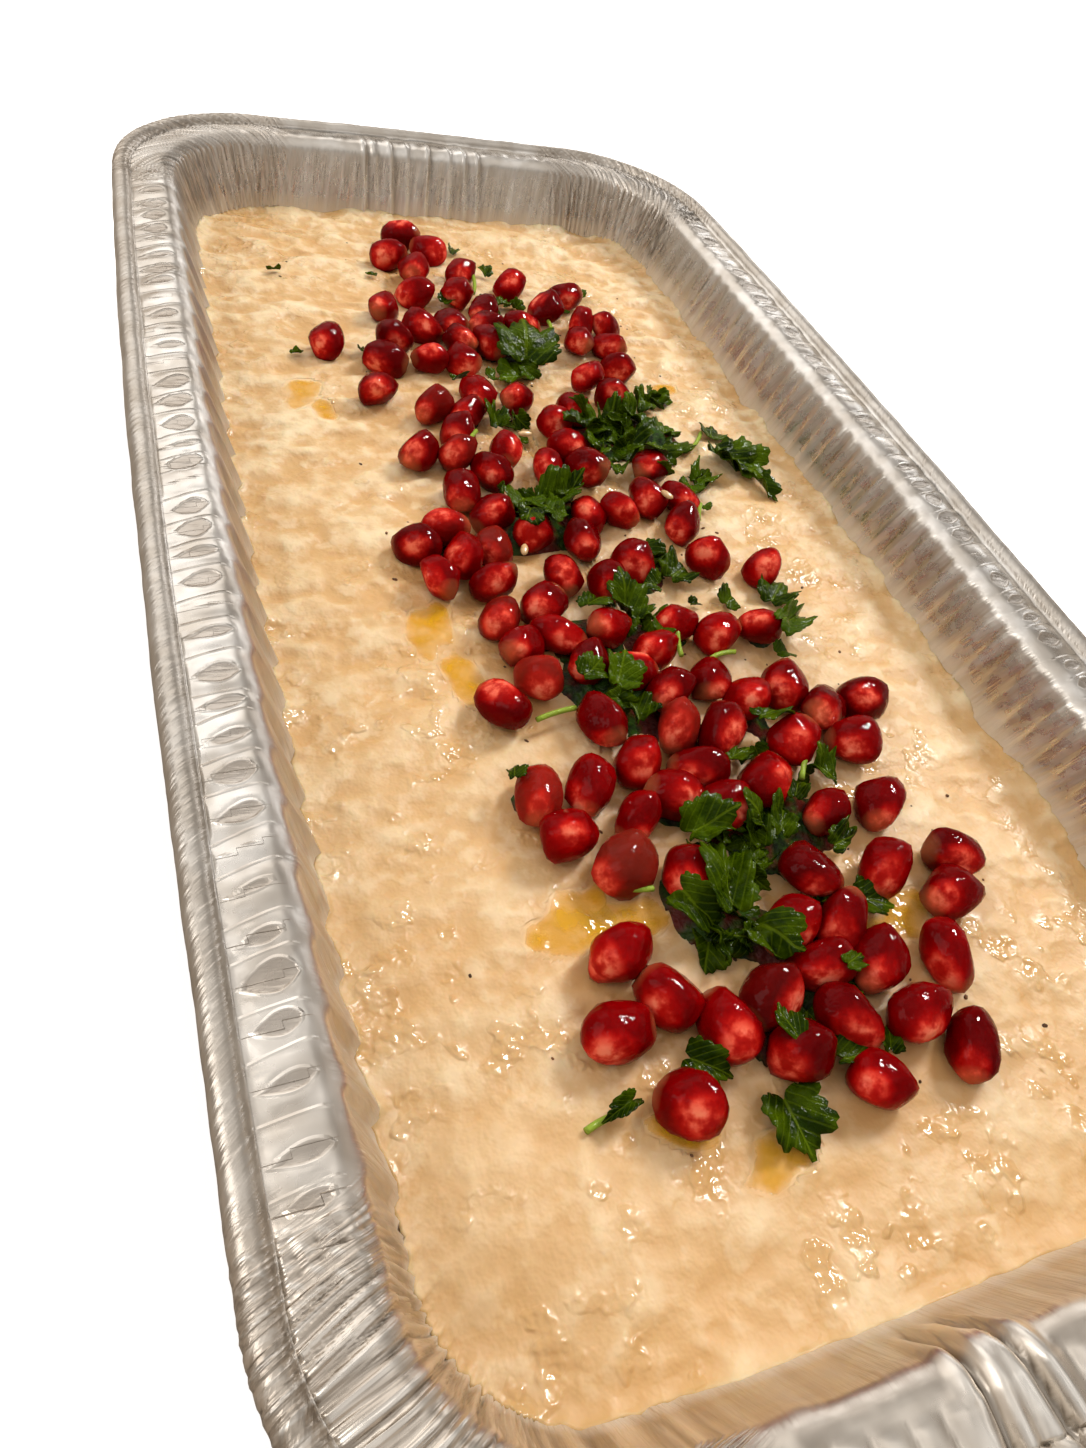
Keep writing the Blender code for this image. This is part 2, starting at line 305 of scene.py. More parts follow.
def pleat_twist(past):
    """How far round a pleat has drifted: little on the wall, and a lot as it crosses the flange."""
    return 0.9 * max(past, -2.0) + 0.12 * min(past + 2.0, 0.0)


def parallel_twist(past, corner):
    """The same in the near left corner, where the pleats lie parallel across the arc."""
    turned = math.radians(min(max(45 + 90 * corner / CORNER_ARC, 0), 90))
    return math.tan(NEAR_LEFT_SLANT - turned) * max(past, -2.0)


def across_pleats(x, y, side, run, corner, past):
    """The distance in mm measured across the pleats: they drift and waver as they go."""
    twist = parallel_twist(past, corner) if in_near_left(x, y) else pleat_twist(past)
    return run - twist + 1.6 * noise.noise((run / 9, past / 16, side))


def pleats(across, run, past, pitch, seed):
    """Pleats side by side, from 0 to 1: rounded swells between sharp valleys."""
    wave = abs(math.sin(math.pi * across / pitch))
    fine = abs(math.sin(math.pi * (1.63 * across / pitch + noise.noise((run / 8, past / 25, seed + 3)))))
    return 0.7 * wave + 0.3 * fine


def gathered(corner):
    """How much the sheet is gathered there: 1 in a corner, 0 along a side."""
    return 1 - smooth((abs(corner) - CORNER_ARC / 2 - 4) / 7)


def opened_out(x, y, corner):
    """How far the near left corner's pleats have opened out into wider waves, from 0 to 1."""
    return smooth((corner - 1) / 5) * in_near_left(x, y)


def pleat_pitch(x, y, corner):
    return 1.9 + 2.4 * opened_out(x, y, corner)


print("gathered in mid corner:", gathered(0.0), "and 30 mm away:", gathered(30.0))

# %% [markdown]
# ## Ribs, cushions and two deep folds
# The two ends aren't fluted. The far wall has a few sharp ribs, and the near flange a row of
# small cushions. Where the tray was squeezed in the hand, two deep folds run over its near
# ridge, each a valley with a lip on both sides.

# %% Folds of the two ends
FAR_RIBS = (-17.0, -14.0, -9.5, -4.6, 1.5, 8.0, 12.5, 16.5)
CUSHION_PITCH = 4.3
NEAR_FOLDS = ((-12.2, 0.05), (-5.6, 0.2))  # (distance right of the middle, lean)


def far_ribs(x, past):
    """The far wall's few sharp folds, which start at the ridge and fade down the wall."""
    height = 0.0
    for k, place in enumerate(FAR_RIBS):
        off = x - place - 0.03 * past * math.sin(5.0 * k)
        depth = 0.65 + 0.25 * math.sin(3.0 * k + 1)
        height += depth * (math.exp(-abs(off) / 0.7) - 0.8 * math.exp(-abs(off - 1.4) / 0.8))
    return height * span(past, -30 + 4 * math.sin(x), 6, 10)


def cushions(run, past):
    """The near flange's row of small cushions, from 0 in the creases between them to 1."""
    place = (run - 0.25 * past + 1.5 * noise.noise((run / 12, 6.0, 0.0))) / CUSHION_PITCH
    return abs(math.sin(math.pi * place)) ** 0.6


def big_fold(offset, past):
    """One deep valley with a lip on each side, which runs over the ridge and the flange."""
    valley = -1.5 * math.exp(-((offset / 0.8) ** 2))
    lips = 0.75 * math.exp(-(((abs(offset) - 2.0) / 1.1) ** 2))
    return (valley + lips) * span(past, -9, 12, 8)


def near_folds(x, past):
    return sum(big_fold(x - place - lean * (past - 4), past) for place, lean in NEAR_FOLDS)


print(len(FAR_RIBS), "ribs and", len(NEAR_FOLDS), "deep folds")

# %% [markdown]
# ## All the folds together
# One function adds up the heights of every kind of fold, over a slow wave that keeps the sheet
# from looking new. A second says whether a point is on a crest or in a valley; the material
# paints shade into the valleys and highlight on the crests, which makes the foil look sharp.

# %% Height and shade of the folds
def side_folds(run, along, past, side):
    """The long sides' flutes, and their flanges' pads and creases."""
    plain_end = smooth((along - 92) / 8) if side == 0 else 0.0
    valley = math.exp(-abs(crease_off(run, past)) / 0.8)
    height = (1 - plain_end) * flutes(run, past, side)
    height -= span(past, 1.4, 9.0, 1.2) * 0.28 * smooth(pad_inside(run, past) / 0.8 + 0.35)
    return height - 0.34 * valley * span(past, 0.0, 9.0, 2.5)


def corner_folds(x, y, side, run, corner, past):
    """The pleats of the corners, deepest on the wall."""
    strength = 1.1 * span(past, -39, -2, 5) + 0.8 * span(past, -1, 9.4, 3) + 0.2 * smooth((past - 9.5) / 1.5)
    strength *= 0.85 + 0.5 * noise.noise((run / 9, past / 30, side + 0.5))
    strength *= 1 - 0.5 * opened_out(x, y, corner)
    across = across_pleats(x, y, side, run, corner, past)
    return strength * (pleats(across, run, past, pleat_pitch(x, y, corner), side) - 0.6)


def fold_height(x, y, side, run, along, corner, past):
    """How far the sheet stands off its plain shape, in millimetres along its normal."""
    in_corner = gathered(corner)
    on_flange = span(past, 1.4, 9.0, 1.2)
    on_bead = smooth((past - 9.5) / 1.5)
    height = 0.35 * noise.noise((x / 23, y / 23, past / 23)) * (1 - 0.6 * on_bead)
    height += 0.4 * math.sin(math.pi * min(max(past / 9.5, 0.0), 1.0))
    height += 0.2 * on_flange * noise.noise((run / 6.5, past / 9, 4.0))
    height += 0.06 * noise.noise((x / 6, y / 6, past / 9)) * (1 - on_bead)
    if in_corner > 0:
        height += in_corner * corner_folds(x, y, side, run, corner, past)
    if side in (0, 2):
        height += (1 - in_corner) * side_folds(run, along, past, side)
    elif side == 1:
        height += far_ribs(x, past)
        height += 0.2 * on_flange * noise.noise((run / 2.2, past / 20, 8.0))
    else:
        lip = 2.6 + 0.8 * math.sin(run / 5)
        height += 0.4 * span(past, -4, 9, 3) * noise.noise(((run + 0.3 * past) / 6, 3.0, past / 30))
        height += (1 - in_corner) * 0.4 * span(past, lip, 9.2, 1.2) * cushions(run, past)
        height += near_folds(x, past)
    if past > 9.5:
        height += 0.14 * noise.noise((run / 7, 1.0, past / 6))
        height += 0.04 * noise.noise((run / 1.8, 2.0, past / 3))
    return height


def painted_fold_shading(x, y, side, run, corner, past):
    """Crest or valley of the sharpest folds, from 0 in a valley to 1 on a crest, for painted shade and
    highlight.
    """
    in_corner = gathered(corner)
    shade = 0.5
    if in_corner > 0:
        across = across_pleats(x, y, side, run, corner, past)
        pleat = pleats(across, run, past, pleat_pitch(x, y, corner), side)
        shade += in_corner * 0.9 * (pleat - 0.55)
    if side == 1:
        shade += 0.8 * far_ribs(x, past)
    elif side == 3:
        on_cushions = span(past, 2.6, 9.2, 1.2)
        shade += (1 - in_corner) * 0.5 * on_cushions * (cushions(run, past) - 0.55)
        shade += 0.5 * near_folds(x, past)
    return min(max(shade, 0.0), 1.0)


print("mid far wall stands off by", round(fold_height(0, HALF_LENGTH, 1, 0, 0, 60, -10), 2), "mm")

# %% [markdown]
# ## Sweeping the section round the line
# A ring of edges is extruded again and again, which gives a tube of plain quads. Each point
# remembers its step and its ring in two layers, and then it is moved to its place. That keeps
# the faces to the operator and the shape to the functions above.

# %% Tube of rings
def mesh_of(bm, name):
    """The finished mesh of a bmesh, which is freed."""
    mesh = bpy.data.meshes.new(name)
    bm.to_mesh(mesh)
    bm.free()
    return mesh


def tube(name, steps, rings):
    """A capped tube of quads. Its mesh carries "step" and "ring" for every point."""
    bm = bmesh.new()
    step_of, ring_of = bm.verts.layers.int.new("step"), bm.verts.layers.int.new("ring")
    bmesh.ops.create_circle(bm, segments=steps, radius=1)
    for index, vert in enumerate(bm.verts):
        vert[step_of] = index
    edges = bm.edges[:]
    bmesh.ops.contextual_create(bm, geom=edges)
    for ring in range(1, rings):
        made = bmesh.ops.extrude_edge_only(bm, edges=edges)["geom"]
        for vert in (g for g in made if isinstance(g, bmesh.types.BMVert)):
            vert[ring_of] = ring
            vert.co.z += 1
        edges = [g for g in made if isinstance(g, bmesh.types.BMEdge)]
    bmesh.ops.contextual_create(bm, geom=edges)
    bmesh.ops.recalc_face_normals(bm, faces=bm.faces)
    return mesh_of(bm, name)


def read_layer(mesh, name):
    """The whole numbers that a mesh's points carry in a layer."""
    values = np.empty(len(mesh.vertices), np.int32)
    mesh.attributes[name].data.foreach_get("value", values)
    return values


def move_points(mesh, places):
    """Moves every point to its place in metres, and turns the faces outwards if need be."""
    mesh.vertices.foreach_set("co", np.asarray(places, np.float32).ravel())
    mesh.update()
    bm = bmesh.new()
    bm.from_mesh(mesh)
    if bm.calc_volume(signed=True) < 0:
        mesh.flip_normals()
    bm.free()


def store_mask(mesh, name, values):
    """Gives every point a number that the materials read by its name."""
    layer = mesh.attributes.new(name, "FLOAT", "POINT")
    layer.data.foreach_set("value", np.asarray(values, np.float32))


print("a ring has", len(tray_line["x"]), "points")

# %% [markdown]
# ## A map of the sheet, and finishing a piece
# Fine lines drawn in the foil follow the sheet and not the world, so the tray gets a UV map in
# metres: across it is how far round, and up it how far past the ridge. A face on the last seam
# would stretch over the whole map, so its low values are moved up by one whole turn. The other
# helper gives a mesh its object, its materials and its body.

# %% UV map and finishing
def store_uv(mesh, u_of_point, v_of_point, whole_turn):
    """A UV map in metres: how far round, and how far past the ridge."""
    corners = np.empty(len(mesh.loops), np.int32)
    mesh.loops.foreach_get("vertex_index", corners)
    starts = np.empty(len(mesh.polygons), np.int32)
    mesh.polygons.foreach_get("loop_start", starts)
    counts = np.diff(np.append(starts, len(corners)))
    u = u_of_point[corners]
    highest = np.repeat(np.maximum.reduceat(u, starts), counts)
    u = np.where(highest - u > whole_turn / 2, u + whole_turn, u)
    spots = np.column_stack([u, v_of_point[corners]]).astype(np.float32).ravel() * MM
    mesh.uv_layers.new(name="UVMap").data.foreach_set("uv", spots)


def finish_piece(name, mesh, materials, replaces=()):
    """Shades a mesh smooth and gives it its object, materials and body, and hides the CAD parts it replaces.
    """
    mesh.shade_smooth()
    for material in materials:
        mesh.materials.append(material)
    piece = bpy.data.objects.new(name, mesh)
    bpy.context.scene.collection.objects.link(piece)
    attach(piece, "root")
    if replaces:
        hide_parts(*replaces)
    print(name, "has", sum(len(p.vertices) - 2 for p in mesh.polygons), "triangles")
    return piece


# %% [markdown]
# ## The tray
# The outside follows the same rings as the inside, fewer of them, one thickness of foil behind.
# Both caps are flat and lie under the dip and under the tray.

# %% Foil tray
def tray_rings():
    """(offset, height, normal, past) of every ring: the inside, the curl's end, and back outside."""
    rings = list(inside)
    back = inside[-1:0:-2] + inside[:1]
    for offset, height, out, up, past in back:
        rings.append((offset - out * FOIL, height - up * FOIL, out, up, past))
    return rings


def place_on_section(line, step, ring):
    """The point, in millimetres, of one step of the line on one ring of the section."""
    offset, height, out, up, past = ring
    x, y, nx, ny, run, along, corner = (
        line[key][step] for key in ("x", "y", "nx", "ny", "run", "along", "corner")
    )
    fold = fold_height(x, y, int(line["side"][step]), run, along, corner, past)
    fold *= smooth((height - 1.0) / 3.0)
    offset += out * fold
    return x + nx * offset, y + ny * offset, height + up * fold


rings = tray_rings()
print(len(rings), "rings make the closed shell")

# %% [markdown]
# ## Masks on the tray
# A material can't know where a pleat or a pad is, so the mesh tells it. Each mask is a number at
# every point: how much dip clings there, how far inside a pad it is, how near a crease, whether
# on a crest or in a valley (for painted shade and highlight), how gathered, and how far across the pleats.

# %% Tray masks
DIP_DEPTH = 17.1  # how far the dip's level lies under the ridge


def film_share(x, y, z):
    """How much dip clings to the foil: a thin band over the dip, wider at the near end and on the right."""
    reach = 1.2 + 1.6 * smooth((x - 30) / 30) + 0.3 * smooth((-y - 120) / 20)
    reach *= 1 + 0.6 * noise.noise((x / 8, y / 8, 1.0))
    return smooth(1 - (z - RIDGE_Z + DIP_DEPTH) / reach)


def cell_masks(line, step_of, past_of):
    """For every point, how far inside a pad it lies and how far from a crease. Only long sides have them."""
    on_side = np.isin(line["side"], (0, 2)) & (np.abs(line["corner"]) > CORNER_ARC / 2 + 3)
    spots = list(zip(on_side[step_of], line["run"][step_of], past_of))
    pads = [pad_inside(run, past) if here else -3.0 for here, run, past in spots]
    creases = [crease_off(run, past) if here else 3.0 for here, run, past in spots]
    return pads, creases


def pleat_masks(line, step_of, past_of):
    """For every point, its crest or valley for painted shade and highlight, how gathered the sheet is, and
    its place across the pleats.
    """
    keys = ("x", "y", "side", "run", "corner")
    spots = [[line[key][step] for key in keys] for step in range(len(line["x"]))]
    pairs = list(zip(step_of, past_of))
    shades = {(step, past): painted_fold_shading(*spots[step], past) for step, past in set(pairs)}
    folds = [shades[pair] for pair in pairs]
    gathers = [gathered(spots[step][-1]) for step in step_of]
    across = [across_pleats(*spots[step], past) for step, past in pairs]
    return folds, gathers, across


def make_tray(materials):
    mesh = tube("foil_tray_formed", len(tray_line["x"]), len(rings))
    step_of, ring_of = read_layer(mesh, "step"), read_layer(mesh, "ring")
    places = [place_on_section(tray_line, step, rings[ring]) for step, ring in zip(step_of, ring_of)]
    move_points(mesh, np.array(places) * MM)
    past_of = np.array([ring[4] for ring in rings])[ring_of]
    store_uv(mesh, tray_line["run"][step_of], past_of, tray_line["total"])
    film = [film_share(*place) if ring < len(inside) else 0 for place, ring in zip(places, ring_of)]
    pads, creases = cell_masks(tray_line, step_of, past_of)
    folds, gathers, across = pleat_masks(tray_line, step_of, past_of)
    # fold: crest or valley of the folds, which the foil's material paints as shade and highlight
    names = ("film", "pad", "crease", "fold", "gathered", "across")
    for name, values in zip(names, (film, pads, creases, folds, gathers, across)):
        store_mask(mesh, name, values)
    return finish_piece("foil_tray_formed", mesh, materials, ["foil_tray"])


# %% [markdown]
# ## Helpers for materials
# Every finish here is worked out by nodes. They could be wired one by one, but short helpers keep
# the materials readable: each adds one kind of node, links what it is given, and hands back its
# output. A value may be a plain number or another node's output.

# %% Node helpers
def put(tree, socket, value):
    """Links an output to a socket, or sets the socket to a plain value."""
    if isinstance(value, bpy.types.NodeSocket):
        tree.links.new(value, socket)
    else:
        socket.default_value = value


def add_node(tree, kind, inputs=None, **settings):
    node = tree.nodes.new("ShaderNode" + kind)
    for name, value in settings.items():
        setattr(node, name, value)
    for name, value in (inputs or {}).items():
        put(tree, node.inputs[name], value)
    return node


def mix(tree, factor, first, second):
    """The colour between two colours, each a triple or an output."""
    node = add_node(tree, "Mix", data_type="RGBA")
    put(tree, node.inputs[0], factor)
    for socket, colour in ((node.inputs[6], first), (node.inputs[7], second)):
        put(tree, socket, (*colour, 1) if isinstance(colour, tuple) else colour)
    return node.outputs[2]


def math_of(tree, operation, *values):
    """The output of a Math node."""
    return add_node(tree, "Math", dict(enumerate(values)), operation=operation).outputs[0]


def times(tree, first, second):
    return math_of(tree, "MULTIPLY", first, second)


def ramp(tree, value, low, high, most=1.0, least=0.0):
    """A value's place between low and high, from least to most."""
    levels = {"Value": value, "From Min": low, "From Max": high, "To Min": least, "To Max": most}
    return add_node(tree, "MapRange", levels).outputs["Result"]


# %% [markdown]
# ## Reading the mesh, relief, and a new material
# Some helpers tie a finish to its piece. The mesh carries masks at its points, which an Attribute
# node reads. Fine relief goes through one Bump node, whose depth is given in millimetres. Every
# new material starts from the Principled shader and the piece's own Object coordinates.

# %% Material helpers
def read_mask(tree, name, output="Fac"):
    """A number or a colour that the mesh carries at its points."""
    return add_node(tree, "Attribute", attribute_name=name).outputs[output]


def parts_of(tree, vector):
    """The X, Y and Z of a vector."""
    return add_node(tree, "SeparateXYZ", {"Vector": vector}).outputs


def add_bump(tree, shader, height, strength, distance):
    """Relief from a height, with its full depth in millimetres."""
    bump = add_node(tree, "Bump", {"Height": height, "Strength": strength, "Distance": distance * MM})
    put(tree, shader.inputs["Normal"], bump.outputs["Normal"])


def new_material(name, **values):
    """A material's tree, its shader, its Object coordinates, and the material itself."""
    material = bpy.data.materials.new(name)
    material.use_nodes = True
    tree = material.node_tree
    shader = tree.nodes["Principled BSDF"]
    for socket, value in values.items():
        shader.inputs[socket.replace("_", " ")].default_value = value
    return material, tree, shader, add_node(tree, "TexCoord").outputs["Object"]


# %% [markdown]
# ## Patches, a shared effect
# Nothing on food or foil is one flat colour. The group "patches" turns noise into a mask of soft
# patches of a given size, and the foil, the dip, the arils, the oil and the leaves all use it
# with their own sizes. It is made once, as a node group, and placed wherever it is needed.

# %% Patches group
def make_patches_group():
    group = bpy.data.node_groups.new("patches", "ShaderNodeTree")
    group.interface.new_socket("Vector", in_out="INPUT", socket_type="NodeSocketVector")
    for name in ("Scale", "Detail", "Low", "High"):
        group.interface.new_socket(name, in_out="INPUT", socket_type="NodeSocketFloat")
    group.interface.new_socket("Mask", in_out="OUTPUT", socket_type="NodeSocketFloat")
    given, out = group.nodes.new("NodeGroupInput").outputs, group.nodes.new("NodeGroupOutput")
    cloud = add_node(group, "TexNoise", {name: given[name] for name in ("Vector", "Scale", "Detail")})
    levels = {"Value": cloud.outputs["Fac"], "From Min": given["Low"], "From Max": given["High"]}
    mask = add_node(group, "MapRange", levels, interpolation_type="SMOOTHSTEP")
    group.links.new(mask.outputs["Result"], out.inputs["Mask"])
    return group


PATCHES = make_patches_group()


def patches(tree, vector, size, low=0.4, high=0.6, detail=2.0):
    """A mask of soft patches about "size" millimetres across."""
    values = {"Vector": vector, "Scale": 1 / (size * MM), "Detail": detail, "Low": low, "High": high}
    return add_node(tree, "Group", values, node_tree=PATCHES).outputs["Mask"]


print("the group", PATCHES.name, "has", len(PATCHES.nodes), "nodes")

# %% [markdown]
# ## The foil's parts
# Aluminium foil is a mirror that has been dulled by rolling and drawn into fine lines. The finish
# differs from part to part, so the first cell turns the UV map and the mesh's masks into shares
# from 0 to 1: wall, ridge, flange and rolled rim, the pads, the lines round them, and the pleats.

# %% Foil masks
def streaks(tree, share, slant, stretch, size, low=0.3, high=0.7):
    """Patches drawn out into lines along the sheet, which lean by "slant"."""
    run, past = share["run"], share["past"]
    leaning = math_of(tree, "MULTIPLY_ADD", past, slant, run)
    vector = add_node(tree, "CombineXYZ", {"X": leaning, "Y": times(tree, past, stretch)})
    return patches(tree, vector.outputs["Vector"], size, low, high, 3.0)


def foil_shares(tree, place):
    """The shares of every part and mark of the foil, by name."""
    sheet = parts_of(tree, add_node(tree, "UVMap", uv_map="UVMap").outputs["UV"])
    share = {"run": sheet["X"], "past": sheet["Y"]}
    for name in ("pad", "crease", "fold", "gathered", "across", "film"):
        share[name] = read_mask(tree, name)

    def between(low, high, of=share["past"]):
        return ramp(tree, of, low * MM, high * MM)

    share["bead"] = between(9.0, 10.0)
    share["wall"] = between(0.5, -4.0)
    share["flange"] = times(tree, between(0.5, 1.5), between(9.5, 8.5))
    share["ridge"] = times(tree, between(-4.0, -1.0), between(3.5, 1.0))
    share["off_wall"] = math_of(tree, "MULTIPLY_ADD", share["wall"], -0.85, 1.0)
    share["in_pad"] = times(tree, ramp(tree, share["pad"], -0.05, 0.25), share["flange"])
    for name, mark, width in (("outline", "pad", 0.34), ("line", "crease", 0.3)):
        off = math_of(tree, "ABSOLUTE", share[mark])
        share[name] = times(tree, ramp(tree, off, width, 0.0), share["flange"])
    # patches drawn along the pleats: their relief, and painted shade along them
    drawn = {"X": times(tree, share["across"], MM), "Y": times(tree, share["past"], 0.04)}
    across = add_node(tree, "CombineXYZ", drawn).outputs["Vector"]
    share["gathers"] = times(tree, patches(tree, across, 1.0, 0.35, 0.65), share["gathered"])
    share["bands"] = times(tree, streaks(tree, share, 0.15, 0.05, 3.2, 0.4, 0.6), share["wall"])
    # the left and near walls are painted greyer and made rougher, which mutes the dip's colour they reflect
    where = parts_of(tree, place)
    left, near = between(-56, -62, of=where["X"]), between(-130, -138, of=where["Y"])
    share["muted_dip_reflection"] = times(tree, share["wall"], math_of(tree, "MAXIMUM", left, near))
    share["near_end"] = between(-70, -150, of=where["Y"])
    share["smear"] = times(tree, share["film"], patches(tree, place, 4.0, 0.0, 0.45))
    return share


# %% [markdown]
# ## The foil's fine relief
# The lines run down the wall, where the die pulled the metal, and slant over the rolled rim. They
# are far finer than the mesh, so they are bump. Each kind adds its height where its share is.

# %% Foil relief
def foil_height(tree, place, share):
    """The height of the fine lines, added up, with 1 for the deepest common one."""
    layers = (
        # (mask, where it is, how deep)
        (streaks(tree, share, 0.1, 0.06, 0.8), "wall", 1.0),
        (streaks(tree, share, 0.2, 0.12, 2.6), "wall", 1.5),
        (streaks(tree, share, -0.8, 0.15, 1.1, 0.3, 0.8), "bead", 0.8),
        (streaks(tree, share, 0.15, 0.2, 0.8), "in_pad", 0.35),
        (patches(tree, place, 5.0, 0.3, 0.7), "off_wall", 0.35),
    )
    height = times(tree, share["gathers"], 1.6)
    for name, depth in (("outline", 0.9), ("line", 0.8)):
        height = math_of(tree, "MULTIPLY_ADD", share[name], depth, height)
    for mask, name, depth in layers:
        height = math_of(tree, "MULTIPLY_ADD", times(tree, mask, share[name]), depth, height)
    return height


# %% [markdown]
# ## The foil's colour
# Bare metal shows what is around it, so most of its colour comes from the light. The base colour
# only tints it: warmer towards the near end and duller on the rim. Painted shade darkens the sunk
# pads, the gathered corners and the valleys, a painted highlight brightens the crests, and the left
# and near walls are painted greyer to mute the dip's colour they reflect. Where dip clings to it,
# it is cream and no metal at all.

# %% Foil material
def foil_colour(tree, place, share):
    """The tint of the bare metal, with painted shade in its hollows and highlight on its crests."""
    bright = mix(tree, share["near_end"], (0.84, 0.81, 0.77), (0.92, 0.85, 0.76))
    dull = mix(tree, share["near_end"], (0.62, 0.57, 0.51), (0.72, 0.65, 0.57))
    clouds = times(tree, patches(tree, place, 7.0, 0.35, 0.65), share["off_wall"])
    metal = mix(tree, clouds, bright, dull)
    tints = (
        # (where it is, how strong, colour)
        # painted shade: the sunk pads are darker
        ("in_pad", 0.7, (0.42, 0.365, 0.31)),
        ("bead", 0.5, (0.52, 0.47, 0.41)),
        ("wall", 0.2, (0.72, 0.68, 0.62)),
        # painted: the left and near walls are greyer, which mutes the dip's colour they reflect
        ("muted_dip_reflection", 0.7, (0.60, 0.61, 0.63)),
        ("bands", 0.5, (0.52, 0.44, 0.34)),
        # painted shade: darker and browner in the gathered corners and along their pleats
        ("gathered", 0.3, (0.74, 0.63, 0.52)),
        ("gathers", 0.45, (0.26, 0.215, 0.17)),
    )
    for name, strength, colour in tints:
        metal = mix(tree, times(tree, share[name], strength), metal, colour)
    # painted shade in the valleys of the folds and pleats, and a painted highlight on their crests
    metal = mix(tree, ramp(tree, share["fold"], 0.42, 0.05, 0.75), metal, (0.17, 0.135, 0.10))
    return mix(tree, ramp(tree, share["fold"], 0.62, 0.95, 0.65), metal, (0.98, 0.96, 0.92))


def make_foil_material():
    material, tree, shader, place = new_material("foil", Metallic=1.0, Roughness=0.3)
    share = foil_shares(tree, place)
    colour = mix(tree, share["smear"], foil_colour(tree, place, share), (0.70, 0.59, 0.44))
    put(tree, shader.inputs["Base Color"], colour)
    put(tree, shader.inputs["Metallic"], math_of(tree, "SUBTRACT", 1.0, share["smear"]))
    rough = math_of(tree, "MULTIPLY_ADD", patches(tree, place, 3.0, 0.3, 0.7, 3.0), 0.1, 0.23)
    for name, more in (("muted_dip_reflection", 0.14), ("bead", 0.1), ("ridge", 0.08), ("smear", 0.15)):
        rough = math_of(tree, "MULTIPLY_ADD", share[name], more, rough)
    put(tree, shader.inputs["Roughness"], rough)
    add_bump(tree, shader, foil_height(tree, place, share), 0.75, 0.15)
    return material


tray = make_tray([make_foil_material()])

# %% [markdown]
# ## Pools of olive oil
# Oil was drizzled on last. It gathers in the hollows of the dip and between the arils, where it
# smooths the surface under it. Each pool is an oval with a wavering edge, given in millimetres.

# %% Pool layout
OIL_POOLS = (
    # (x, y, half length, half width, heading)
    (-49, 53, 6, 4.5, 60),
    (-45, 46.5, 4.5, 3, 100),
    (-38, -23, 8, 4.5, 75),
    (-34.5, -36, 8, 3.5, 100),
    (-31, -86, 8, 6, 30),
    (-22, -87, 7, 4, 0),
    (23, -96, 7, 4, 20),
    (-15.5, -124.5, 7, 3.5, 15),
    (-25.5, -117.5, 6, 3, 160),
    (44, 57, 5, 3, 40),
)


def pool_share(pool, x, y):
    """0 at a pool's edge and beyond, and up to 1 in its middle."""
    px, py, half_length, half_width, heading = pool
    c, s = math.cos(math.radians(heading)), math.sin(math.radians(heading))
    u, v = ((x - px) * c + (y - py) * s) / half_length, ((y - py) * c - (x - px) * s) / half_width
    edge = noise.noise((x / 4.5, y / 4.5, 2.0)) + 0.2 * noise.noise((x / 2.4, y / 2.4, 5.0))
    return max(0.0, 1 - u * u - v * v + 0.9 * edge)


def oil_share(x, y):
    return min(1.0, max(pool_share(pool, x, y) for pool in OIL_POOLS))


print(len(OIL_POOLS), "pools of oil")


# %% [markdown]
# ## The dip's surface
# Baba ganoush is spooned in and spread, which leaves soft lumps, drag marks and a thin edge that
# creeps up the foil. The relief is a height over the level, added up from noise of several sizes,
# so everything that lies on the dip can ask for the height under it.

# %% Dip relief
DIP_LEVEL = RIDGE_Z - DIP_DEPTH


def dip_lumps(x, y):
    """The small relief: soft lumps, drag ridges and crumbs, in millimetres."""
    drag = 4.0 * noise.noise((x / 30, y / 30, 4.0))
    lumps = noise.noise(((x + drag) / 10, (y - drag) / 6.5, 1.7))
    ridges = 0.5 - abs(noise.noise(((x + 2 * drag) / 10, (y + drag) / 5.0, 6.0)))
    crumbs = 0.5 - abs(noise.noise(((x - drag) / 4.6, (y + drag) / 3.5, 8.0)))
    rough = 0.55 + 0.45 * smooth((y - 0.6 * x + 60) / 120)
    return rough * (1.0 * lumps + 1.15 * (ridges - 0.35) + 0.55 * (crumbs - 0.35))


def dip_relief(x, y):
    """The height of the spread surface over its level, in millimetres."""
    broad = 0.8 * noise.noise((x / 27, y / 19, 0.0)) + 0.4
    return (broad + dip_lumps(x, y)) * (1 - 0.6 * smooth(oil_share(x, y)))


def dip_height(x, y):
    return DIP_LEVEL + dip_relief(x, y)


print("the dip's middle is", round(dip_height(0, 0), 1), "mm over the base")


# %% [markdown]
# ## Where the pomegranate arils lie
# The arils were scattered by hand in a band down the middle. Each row of the far half gives its
# distance along the tray and the arils' places across it, in millimetres. Those of the near half
# also have the heading of their long side. The ones that lie apart are nodes of the CAD model.
# The model keeps a gap to the heap that the real ones don't have, so each is nudged in a little.

